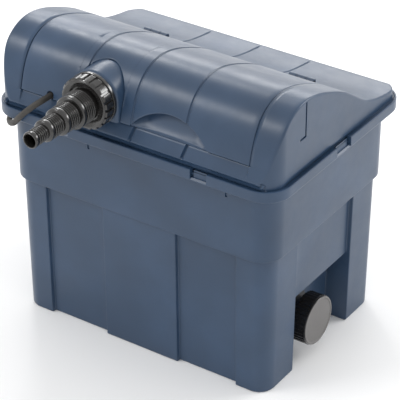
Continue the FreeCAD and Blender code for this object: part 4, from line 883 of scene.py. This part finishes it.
# ---------------------------------------------------------------- inlet, drain and outlet
def nut_skin():
    """Union nut: an outline turned about Y, swollen by twenty long pads between thin gaps."""
    depth = NUT_BACK - NUT_FRONT
    outline = rounded([
        (0.0, 24.4), (0.0, 30.4), (0.3, NUT_R), (4.0, NUT_R), (4.3, 29.0), (depth - 3.2, 29.0),
        (depth - 0.9, 28.9), (depth, 27.8), (depth, 26.2), (depth - 2.2, 20.5),
        (depth - 5.6, 20.3), (depth - 5.9, 24.2)], 0.5)
    outline = np.concatenate([outline[:1], *[
        np.linspace(p, q, max(1, int(abs(q[0] - p[0]) / 0.8)) + 1)[1:]
        for p, q in zip(outline[:-1], outline[1:])]])

    def pads(s, a, radius):
        phase = np.abs((a * NUT_PADS / (2 * math.pi)) % 1.0 - 0.5) * 2
        across = np.clip((0.74 - phase) / 0.12, 0, 1)
        along = np.clip((s - 4.4) / 0.9, 0, 1) * np.clip((depth - 1.6 - s) / 1.2, 0, 1)
        outside = (radius > 28.5) & (radius < 29.5)
        return 1.75 * np.sqrt(across) * np.sqrt(along) * outside

    return turned(outline, (INLET_X, NUT_BACK, INLET_Z), (0, -1, 0), around=320, swell=pads, closed=True)


def tail_skin():
    """Hose tail: flange, neck and four steps, each of five round rings and a wide smooth
    band, then back up the tapering bore; the closed outline is turned about Y."""
    neck = TAIL_BACK - NUT_FRONT
    total = TAIL_BACK - TAIL_END
    step = (total - neck) / len(TAIL_STEPS)
    outline = [(0, TAIL_COLLAR - 0.5), (0.5, TAIL_COLLAR), (2.0, TAIL_COLLAR), (2.4, TAIL_COLLAR - 0.5),
               (2.4, TAIL_STEPS[0] - 0.8)]
    for number, radius in enumerate(TAIL_STEPS):
        s = neck + number * step
        before = TAIL_STEPS[number - 1] - 1.2 if number else radius - 1.0
        outline += [(s + 0.3, before), (s + 1.0, radius - 1.1), (s + 2.2, radius - 1.1)]
        for tooth in range(5):
            a = s + 2.6 + tooth * 3.0
            outline += [(a, radius - 1.7), (a + 0.1, radius - 0.8), (a + 0.4, radius - 0.25),
                        (a + 0.9, radius), (a + 1.4, radius - 0.05), (a + 1.8, radius - 0.4),
                        (a + 2.0, radius - 0.9), (a + 2.1, radius - 1.7)]
        a = s + step - 5.6
        outline += [(a, radius - 1.7), (a + 0.35, radius - 0.3), (a + 0.9, radius), (a + 2.6, radius),
                    (a + 4.3, radius - 0.05), (a + 5.1, radius - 0.35), (a + 5.55, radius - 0.9)]
    outline[-1] = (total, TAIL_STEPS[-1] - 0.9)
    outline += [(total, TAIL_STEPS[-1] - 1.7), (total - 0.6, TAIL_STEPS[-1] - 2.1)]
    for number in range(len(TAIL_STEPS) - 1, 0, -1):
        s = neck + number * step
        outline += [(s + 1.5, TAIL_STEPS[number] - 2.4), (s - 3, TAIL_STEPS[number - 1] - 2.6)]
    outline += [(0.5, TAIL_STEPS[0] - 2.6), (0, TAIL_STEPS[0] - 2.0)]
    return turned(outline, (INLET_X, TAIL_BACK, INLET_Z), (0, -1, 0), around=112, closed=True)


def cap_skin():
    """Drain cap: an outline turned about X with thirty-six finger ribs on its side, a raised
    rim round a slightly dished face, and the well for the stub behind."""
    long = CAP_FACE - CAP_BACK
    outline = rounded([
        (15.6, 0.0), (15.6, 20.4), (0.0, 20.4), (0.0, 28.2), (0.8, 29.0), (long - 3.4, 29.0),
        (long - 2.6, 29.6), (long - 0.6, 29.6), (long, 28.9), (long, 27.2), (long - 0.7, 26.6),
        (long - 0.9, 0.0)], 0.45)
    outline = np.concatenate([outline[:1], *[
        np.linspace(p, q, max(1, int(np.linalg.norm(q - p) / 3.0)) + 1)[1:]
        for p, q in zip(outline[:-1], outline[1:])]])

    def ribs(s, a, radius):
        phase = np.abs((a * CAP_RIBS / (2 * math.pi)) % 1.0 - 0.5) * 2
        across = np.clip((0.62 - phase) / 0.3, 0, 1)
        side = (radius > 27.9) & (radius < 29.3) & (s < long - 3.0)
        return 1.1 * np.sqrt(across) * side * np.clip((s - 0.2) / 0.8, 0, 1)

    return turned(outline, (CAP_BACK, DRAIN_Y, DRAIN_Z), (1, 0, 0), around=360, swell=ribs)


def outlet_skin():
    """Return spigot: a pipe with a filleted flange and a softened mouth, turned about X."""
    wall = TANK_X + DRAFT + BAND_OUT + BAND_LEAN
    outline = rounded([
        (0.0, OUTLET_BORE), (0.0, OUTLET_R), (38.0, OUTLET_R), (38.0, OUTLET_R + 7.5),
        (42.0, OUTLET_R + 7.5), (42.0, OUTLET_R), (57.9, OUTLET_R), (57.9, OUTLET_BORE),
        (29.0, OUTLET_BORE), (0.0, OUTLET_BORE)], 0.9, steps=4)[:-1]
    return turned(outline, (-wall - 44.0, OUTLET_Y, OUTLET_Z), (1, 0, 0), closed=True)


# ---------------------------------------------------------------- cable
def coil_marks():
    """Route points of the put-away coil: layers of turns wound in and out by turns. The angle
    runs on, the radius shifts by a cable's width over a quarter turn from each turn to the
    next, and the height climbs over a quarter turn from each layer to the next."""
    pitch = 2 * CABLE_R
    count = COIL_LAYERS * COIL_ROUNDS * COIL_MARKS
    k = np.arange(count + 1)
    turn = k / COIL_MARKS
    radii, heights = [], []
    for layer in range(COIL_LAYERS):
        rounds = np.arange(COIL_ROUNDS)
        if layer % 2 == 0:
            rounds = rounds[::-1]
        radii += list(COIL_R + (rounds - (COIL_ROUNDS - 1) / 2) * pitch)
        heights += [COIL_LOW + layer * pitch] * COIL_ROUNDS
    radii, heights = np.array(radii + radii[-1:]), np.array(heights + heights[-1:])
    whole = np.minimum(turn.astype(int), len(radii) - 2)
    part = np.clip((turn - whole - 0.72) / 0.28, 0, 1)
    r = radii[whole] + (radii[whole + 1] - radii[whole]) * part
    z = heights[whole] + (heights[whole + 1] - heights[whole]) * part
    climbing = (heights[whole + 1] != heights[whole]) * np.sin(math.pi * part)
    outer = np.where(radii[whole] > COIL_R, 1.0, -1.0)
    r = (r + 3.2 * climbing * outer) / math.cos(math.pi / COIL_MARKS) ** 0.97
    angle = -math.pi / 2 + 2 * math.pi * turn
    return [(COIL_X + rr * math.cos(a), COIL_Y + rr * math.sin(a), zz)
            for rr, a, zz in zip(r, angle, z)]


def cable_points():
    """The cable's own spline: the route, the coil and the short lead to the plug."""
    lead = [(-70.0, PLUG_Y - 0.9, 24.6), (-52.0, PLUG_Y, 20.6), (-36.0, PLUG_Y, PLUG_Z),
            (-27.0, PLUG_Y, PLUG_Z), (-21.0, PLUG_Y, PLUG_Z)]
    return CABLE_ROUTE + coil_marks() + lead


def spline_line(points, name):
    """Points read back from a NURBS curve of order three through the ends of its frame."""
    data = bpy.data.curves.new(name, "CURVE")
    data.dimensions = "3D"
    data.resolution_u = 5
    spline = data.splines.new("NURBS")
    spline.points.add(len(points) - 1)
    spline.points.foreach_set("co", np.array([(x * MM, y * MM, z * MM, 1.0) for x, y, z in points]).ravel())
    spline.order_u = 3
    spline.use_endpoint_u = True
    curve = bpy.data.objects.new(name, data)
    bpy.context.scene.collection.objects.link(curve)
    bpy.context.view_layer.update()
    mesh = bpy.data.meshes.new_from_object(curve.evaluated_get(bpy.context.evaluated_depsgraph_get()))
    line = np.empty(len(mesh.vertices) * 3)
    mesh.vertices.foreach_get("co", line)
    line = line.reshape(-1, 3)
    bpy.data.meshes.remove(mesh)
    bpy.data.objects.remove(curve)
    bpy.data.curves.remove(data)
    return line


def tube_along(line, radius, around=14):
    """Point = line(t) + (side(t) * cos a + up(t) * sin a) * radius, where side is carried along
    the line and kept square to it, so the tube doesn't twist."""
    way = np.gradient(line, axis=0)
    way /= np.linalg.norm(way, axis=1)[:, None]
    side = np.cross(way[0], [0.0, 0.0, 1.0])
    sides = []
    for each in way:
        side = side - each * side.dot(each)
        side = side / np.linalg.norm(side)
        sides.append(side)
    sides = np.array(sides)
    ups = np.cross(way, sides)
    a = np.linspace(0, 2 * math.pi, around, endpoint=False)
    ring = sides[:, None, :] * np.cos(a)[None, :, None] + ups[:, None, :] * np.sin(a)[None, :, None]
    return line[:, None, :] + ring * radius


def relief_skin():
    """Tapered strain relief with five shallow rings, turned about Y from the gland outward."""
    s = np.linspace(0, RELIEF_LONG, 61)
    r = 6.4 - 2.0 * s / RELIEF_LONG - 0.5 * (np.sin(s * math.pi / 2) > 0.45) * (s > 3) * (s < 18)
    outline = [(0, CABLE_R)] + list(zip(s, r)) + [(RELIEF_LONG, CABLE_R + 0.05)]
    return turned(outline, (CABLE_EXIT[0], CABLE_EXIT[1] + RELIEF_LONG, CABLE_EXIT[2]), (0, -1, 0),
                  around=48, closed=True)


def plug_skin():
    """Mains plug: a tapered cuff that swells into a round grip with shallow finger flutes and a
    flat face, turned about X."""
    s = np.array([-24, -23.6, -18, -12, -6, -1, 2, 5, 8, 12, 20, 28, 31, 33, 33.7, 34])
    r = np.array([4.0, 4.5, 5.2, 6.2, 7.6, 9.2, 11.6, 14.8, 16.8, 17.4, 17.7, 18.0, 18.1, 17.8, 17.2, 16.4])
    fine = np.linspace(-23.6, 33, 60)
    outline = [(-24, 3.5), (-24, 4.0)] + list(zip(fine, np.interp(fine, s, r)))
    outline += [(33.7, 17.2), (34, 16.4), (34, 0.0)]

    def flutes(along, a, radius):
        grip = np.clip((along - 9) / 3, 0, 1) * np.clip((29 - along) / 3, 0, 1)
        cuff = 0.45 * (np.sin(along * math.pi / 2) > 0.3) * (along < -3) * (along > -21) * (radius > 4)
        return -0.9 * grip * np.clip(np.cos(a * 12), 0, 1) ** 0.8 - cuff

    return turned(outline, (PLUG_X, PLUG_Y, PLUG_Z), (1, 0, 0), around=120, swell=flutes)


def pin_skin(offset):
    """One plug pin: a sleeve half, a bare half and a rounded tip, turned about X."""
    outline = [(33.9, 0.0), (33.9, 2.3), (43.5, 2.3), (43.8, 2.4), (52.4, 2.4), (53.5, 2.1),
               (54.6, 1.2), (54.95, 0.0)]
    return turned(outline, (PLUG_X, PLUG_Y + offset, PLUG_Z), (1, 0, 0), around=32)


# ---------------------------------------------------------------- CAD pieces with soft edges
def softened(node, mat, bevel=0.45, sharp=32.0):
    """A welded copy of a CAD node with its flat facets joined and its edges broken by a small
    bevel; it stands for the node."""
    source = frame["nodes"][node]
    mesh = source.data.copy()
    mesh.name = node + "_moulding"
    made = bmesh.new()
    made.from_mesh(mesh)
    bmesh.ops.remove_doubles(made, verts=made.verts, dist=1e-5)
    bmesh.ops.dissolve_limit(made, angle_limit=math.radians(0.6), verts=made.verts, edges=made.edges)
    made.to_mesh(mesh)
    made.free()
    mesh.shade_smooth()
    mesh.set_sharp_from_angle(angle=math.radians(sharp))
    mesh.materials.clear()
    mesh.materials.append(mat)
    obj = bpy.data.objects.new(node + "_moulding", mesh)
    bpy.context.scene.collection.objects.link(obj)
    if bevel:
        edge = obj.modifiers.new("edges", "BEVEL")
        edge.width = bevel * MM
        edge.segments = 2
        edge.limit_method = "ANGLE"
        edge.angle_limit = math.radians(sharp)
        edge.harden_normals = False
    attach(obj, BODY_OF[node])
    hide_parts(node)
    return obj


def repaint(node, mat):
    """Give a CAD node that stays showing its procedural material."""
    mesh = frame["nodes"][node].data
    mesh.materials.clear()
    mesh.materials.append(mat)


# ---------------------------------------------------------------- settings
class PondFilterFinish(bpy.types.PropertyGroup):
    """Colours and finish of the filter box."""

    shade: bpy.props.FloatVectorProperty(
        name="Shade", description="Darker tone of the blue-grey plastic", subtype="COLOR",
        size=4, default=linear("#273B53"), min=0, max=1)
    colour: bpy.props.FloatVectorProperty(
        name="Colour", description="Main tone of the blue-grey plastic", subtype="COLOR",
        size=4, default=linear("#2B4059"), min=0, max=1)
    tint: bpy.props.FloatVectorProperty(
        name="Tint", description="Lighter tone of the blue-grey plastic", subtype="COLOR",
        size=4, default=linear("#314762"), min=0, max=1)


class PondFilterSizes(bpy.types.PropertyGroup):
    """Wall sizes of the moulded shells."""

    crown_wall: bpy.props.FloatProperty(
        name="Crown wall", description="Wall thickness of the lid's crown", unit="LENGTH",
        default=3.0 * MM, min=1.0 * MM, max=6.0 * MM)
    cover_wall: bpy.props.FloatProperty(
        name="Cover wall", description="Wall thickness of the hinged cover", unit="LENGTH",
        default=COVER_WALL * MM, min=1.0 * MM, max=4.0 * MM)


def hexed(colour):
    """Linear colour back to sRGB hex, for the tone lists."""
    parts = [c * 12.92 if c <= 0.0031308 else 1.055 * c ** (1 / 2.4) - 0.055 for c in colour[:3]]
    return "#" + "".join("%02X" % int(round(255 * min(max(p, 0), 1))) for p in parts)


def box_plastic(context):
    """The one blue-grey material that all the box's mouldings share."""
    name = "moulded_polypropylene_blue_grey"
    finish = context.scene.pond_filter_finish
    if name in bpy.data.materials:
        return bpy.data.materials[name]
    return blue_polypropylene((hexed(finish.shade), hexed(finish.colour), hexed(finish.tint)))


def shared(name, maker):
    """A material made once, by name."""
    return bpy.data.materials.get(name) or maker()


def gloss_black():
    """The polished black ABS, made once."""
    return shared("polished_abs_black", black_abs)


# ---------------------------------------------------------------- operators
CAMERA_AT, CAMERA_LENS = (1.1285, -1.6789, 1.3925), 182.93
CAMERA_RIGHT, CAMERA_UP = (0.8302, 0.5574, 0.0), (-0.2934, 0.4369, 0.8502)
CAMERA_AHEAD = (-0.4740, 0.7059, -0.5263)
LIGHTS_AIM = (0.0, 0.0, 0.18)
LIGHTS = (       # name, place in metres, size in metres, watts
    ("right_key", (1.5, 1.75, 1.4), (1.1, 0.8), 24.0),
    ("crest_strip", (-1.5, -1.6, 2.2), (1.1, 0.6), 20.0),
    ("rear_strip", (-1.1, 2.2, 1.15), (1.8, 0.6), 16.0),
    ("glint", (-1.25, 1.25, 1.75), (0.35, 0.35), 7.0),
)


class BuildStage(bpy.types.Operator):
    """Camera, pale floor, soft lights and plain sky"""

    bl_idname = "pond_filter.stage"
    bl_label = "Stage"

    def execute(self, context):
        scene = context.scene
        lens = bpy.data.cameras.new("product_camera")
        lens.lens = CAMERA_LENS
        lens.sensor_width = 36.0
        lens.clip_end = 30.0
        camera = bpy.data.objects.new("product_camera", lens)
        back = [-a for a in CAMERA_AHEAD]
        turn = Matrix([CAMERA_RIGHT, CAMERA_UP, back]).transposed().to_4x4()
        camera.matrix_world = Matrix.Translation(CAMERA_AT) @ turn
        scene.collection.objects.link(camera)
        scene.camera = camera

        across = np.linspace(-4.5, 4.5, 10)
        gx, gy = np.meshgrid(across, across)
        flat, faces = patch(np.stack([gx, gy, np.full_like(gx, -0.0004)], axis=-1))
        mesh = bpy.data.meshes.new("studio_floor")
        mesh.from_pydata(flat.tolist(), [], faces)
        if mesh.polygons[0].normal.z < 0:
            mesh.flip_normals()
        mesh.materials.append(floor_paint())
        floor = bpy.data.objects.new("studio_floor", mesh)
        scene.collection.objects.link(floor)

        for name, place, size, power in LIGHTS:
            light = bpy.data.lights.new(name, "AREA")
            light.shape = "RECTANGLE"
            light.size, light.size_y = size
            light.energy = power
            lamp = bpy.data.objects.new(name, light)
            aim = np.array(LIGHTS_AIM) - np.array(place)
            aim /= np.linalg.norm(aim)
            flat_side = np.cross(aim, [0, 0, 1.0])
            flat_side /= np.linalg.norm(flat_side)
            high = np.cross(flat_side, aim)
            lamp.matrix_world = (Matrix.Translation(place)
                                 @ Matrix([flat_side, high, -aim]).transposed().to_4x4())
            scene.collection.objects.link(lamp)

        world = bpy.data.worlds.new("plain_sky")
        scene.world = world
        scene.view_settings.view_transform = "Standard"
        world.use_nodes = True
        sky = world.node_tree.nodes["Background"]
        sky.inputs["Color"].default_value = (1.0, 1.0, 1.0, 1.0)
        sky.inputs["Strength"].default_value = 0.95
        return {"FINISHED"}


class BuildCable(bpy.types.Operator):
    """Rubber mains cable with its strain relief, put-away coil and plug"""

    bl_idname = "pond_filter.cable"
    bl_label = "Cable"

    def execute(self, context):
        sheath = cable_sheath()
        line = spline_line(cable_points(), "cable_route")
        points = tube_along(line, CABLE_R * MM) / MM
        cable = piece("mains_cable", [patch(points, wrap=(False, True), ends=True)], sheath,
                      replaced=("cable_upper", "cable_lower", "cable_coil", "cable_tail"),
                      sharp=60.0, rides=False)
        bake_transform(cable)
        relief = piece("cable_strain_relief", [relief_skin()], sheath, node="strain_relief")
        plug = piece("mains_plug", [plug_skin()], seal_rubber(), node="power_plug")
        pins = piece("mains_plug_pins", [pin_skin(-9.5), pin_skin(9.5)], stainless_steel(),
                     node="plug_pins")
        return {"FINISHED"}


class BuildTank(bpy.types.Operator):
    """Tank with posts, recessed panels, band, flange and drain alcove"""

    bl_idname = "pond_filter.tank"
    bl_label = "Tank"

    def execute(self, context):
        piece("tank_moulding", [tank_skin()], box_plastic(context), node="tank_shell")
        return {"FINISHED"}


class BuildLid(bpy.types.Operator):
    """Lid with its rim, crown, bay and hinge knuckles"""

    bl_idname = "pond_filter.lid"
    bl_label = "Lid"

    def execute(self, context):
        plastic = box_plastic(context)
        sizes = context.scene.pond_filter_sizes
        piece("lid_crown", [crown_skin()], plastic, node="lid_shell",
              thickness=sizes.crown_wall / MM)
        piece("lid_rim", [rim_skin()], plastic, body="lid")
        bay = piece("lid_bay", [bay_skin()], plastic, body="lid", thickness=2.4)
        bay.data.flip_normals()
        near, far = 6.4, 16.4
        barrels = [barrel(s * HINGE_X + a, s * HINGE_X + b, 1)
                   for s in (-1, 1) for a, b in ((-far, -near), (near, far))]
        piece("lid_knuckles", barrels, plastic, body="lid")
        return {"FINISHED"}


class BuildCover(bpy.types.Operator):
    """Hinged cover with rib grooves, finger scoop, inlet arch and knuckles"""

    bl_idname = "pond_filter.cover"
    bl_label = "Cover"

    def execute(self, context):
        plastic = box_plastic(context)
        sizes = context.scene.pond_filter_sizes
        piece("hinged_cover", [cover_skin()], plastic, node="cover_shell",
              thickness=sizes.cover_wall / MM)
        barrels = [barrel(s * HINGE_X - 6.0, s * HINGE_X + 6.0, -1) for s in (-1, 1)]
        piece("cover_knuckles", barrels, plastic, body="uvc_cover")
        return {"FINISHED"}


class BuildInlet(bpy.types.Operator):
    """Arched collar, union nut and stepped hose tail"""

    bl_idname = "pond_filter.inlet"
    bl_label = "Inlet"

    def execute(self, context):
        gloss = gloss_black()
        piece("inlet_arch", [collar_skin()], box_plastic(context), node="inlet_collar")
        piece("inlet_union_nut", [nut_skin()], gloss, node="union_nut")
        piece("stepped_hose_tail", [tail_skin()], gloss, node="hose_tail")
        return {"FINISHED"}


class BuildDrain(bpy.types.Operator):
    """Ribbed drain cap and the threaded stub behind it"""

    bl_idname = "pond_filter.drain"
    bl_label = "Drain"

    def execute(self, context):
        cap = piece("ribbed_drain_cap", [cap_skin()], [gloss_black(), cap_face_painted_reflection()],
                    node="drain_cap")
        centres = np.empty(len(cap.data.polygons) * 3)
        cap.data.polygons.foreach_get("center", centres)
        centres = centres.reshape(-1, 3) / MM
        radius = np.hypot(centres[:, 1] - DRAIN_Y, centres[:, 2] - DRAIN_Z)
        # the cap's flat face takes the second material, whose grey colour is a painted reflection of the
        # sky
        face = (centres[:, 0] > CAP_FACE - 1.6) & (radius < 29.2)
        cap.data.polygons.foreach_set("material_index", face.astype(np.int32))
        softened("drain_stub", black_pvc())
        repaint("drain_gasket", shared("moulded_epdm_black", seal_rubber))
        softened("drain_lock_nut", gloss_black())
        repaint("drain_seal", shared("moulded_epdm_black", seal_rubber))
        return {"FINISHED"}


class BuildOutlet(bpy.types.Operator):
    """Return spigot on the left end with its gasket and lock nut"""

    bl_idname = "pond_filter.outlet"
    bl_label = "Outlet"

    def execute(self, context):
        pipe = shared("extruded_pvc_black", black_pvc)
        piece("return_spigot", [outlet_skin()], pipe, node="outlet_spigot")
        softened("outlet_gasket", shared("moulded_epdm_black", seal_rubber), bevel=0.3)
        softened("outlet_lock_nut", gloss_black())
        return {"FINISHED"}


class BuildMedia(bpy.types.Operator):
    """Grids, foam blocks with their handles, basket and ceramic rings"""

    bl_idname = "pond_filter.media"
    bl_label = "Filter media"

    def execute(self, context):
        grey = shared("moulded_polypropylene_grey", grey_polypropylene)
        coarse = filter_foam("reticulated_foam_coarse", "#101E3C", "#35538C", 3.2)
        fine = filter_foam("reticulated_foam_fine", "#4A120F", "#A2423B", 2.2)
        for node in ("inlet_grid", "outlet_grid", "media_basket"):
            softened(node, grey, bevel=0.3)
        for number in (1, 2, 3, 4):
            foam = coarse if number < 3 else fine
            softened("foam_block_%d" % number, foam, bevel=1.2)
            softened("foam_handle_%d" % number, gloss_black())
        softened("ceramic_rings", unglazed_ceramic(), bevel=0.5)
        return {"FINISHED"}


class BuildLampUnit(bpy.types.Operator):
    """UV lamp unit under the cover, its clamps, seals and gland"""

    bl_idname = "pond_filter.lamp_unit"
    bl_label = "Lamp unit"

    def execute(self, context):
        pipe = shared("extruded_pvc_black", black_pvc)
        grey = shared("moulded_polypropylene_grey", grey_polypropylene)
        rubber = shared("moulded_epdm_black", seal_rubber)
        steel = shared("drawn_stainless_steel", stainless_steel)
        for node in ("uvc_tube", "uvc_outlet", "uvc_head"):
            softened(node, pipe)
        for node in ("tube_clamp_left", "tube_clamp_right"):
            softened(node, grey)
        softened("lock_ring", gloss_black())
        softened("cable_gland", gloss_black())
        softened("clamp_screws", steel, bevel=0.25)
        softened("hinge_pins", steel, bevel=0.2)
        for node in ("head_o_ring", "outlet_grommet", "hose_seal", "lid_seal"):
            repaint(node, rubber)
        repaint("quartz_sleeve", quartz_glass())
        repaint("uvc_lamp", shared("unglazed_ceramic", unglazed_ceramic))
        repaint("lamp_socket", shared("unglazed_ceramic", unglazed_ceramic))
        repaint("ballast", grey)
        return {"FINISHED"}


class PondFilterPanel(bpy.types.Panel):
    """Sidebar panel that lists the pieces and their settings"""

    bl_idname = "VIEW3D_PT_pond_filter"
    bl_label = "Pond filter box"
    bl_space_type = "VIEW_3D"
    bl_region_type = "UI"
    bl_category = "Pond filter"

    def draw(self, context):
        column = self.layout.column()
        for name in ("shade", "colour", "tint"):
            column.prop(context.scene.pond_filter_finish, name)
        for name in ("crown_wall", "cover_wall"):
            column.prop(context.scene.pond_filter_sizes, name)
        for builder in BUILDERS:
            column.operator(builder.bl_idname)


BUILDERS = (BuildStage, BuildCable, BuildTank, BuildLid, BuildCover, BuildInlet, BuildDrain,
            BuildOutlet, BuildMedia, BuildLampUnit)
CLASSES = (PondFilterFinish, PondFilterSizes) + BUILDERS + (PondFilterPanel,)


def register():
    for each in CLASSES:
        bpy.utils.register_class(each)
    bpy.types.Scene.pond_filter_finish = bpy.props.PointerProperty(type=PondFilterFinish)
    bpy.types.Scene.pond_filter_sizes = bpy.props.PointerProperty(type=PondFilterSizes)


def unregister():
    del bpy.types.Scene.pond_filter_sizes
    del bpy.types.Scene.pond_filter_finish
    for each in reversed(CLASSES):
        bpy.utils.unregister_class(each)


def main():
    register()
    for builder in BUILDERS:
        section, call = builder.bl_idname.split(".")
        getattr(getattr(bpy.ops, section), call)()
    bpy.context.view_layer.update()


if __name__ == "__main__":
    main()
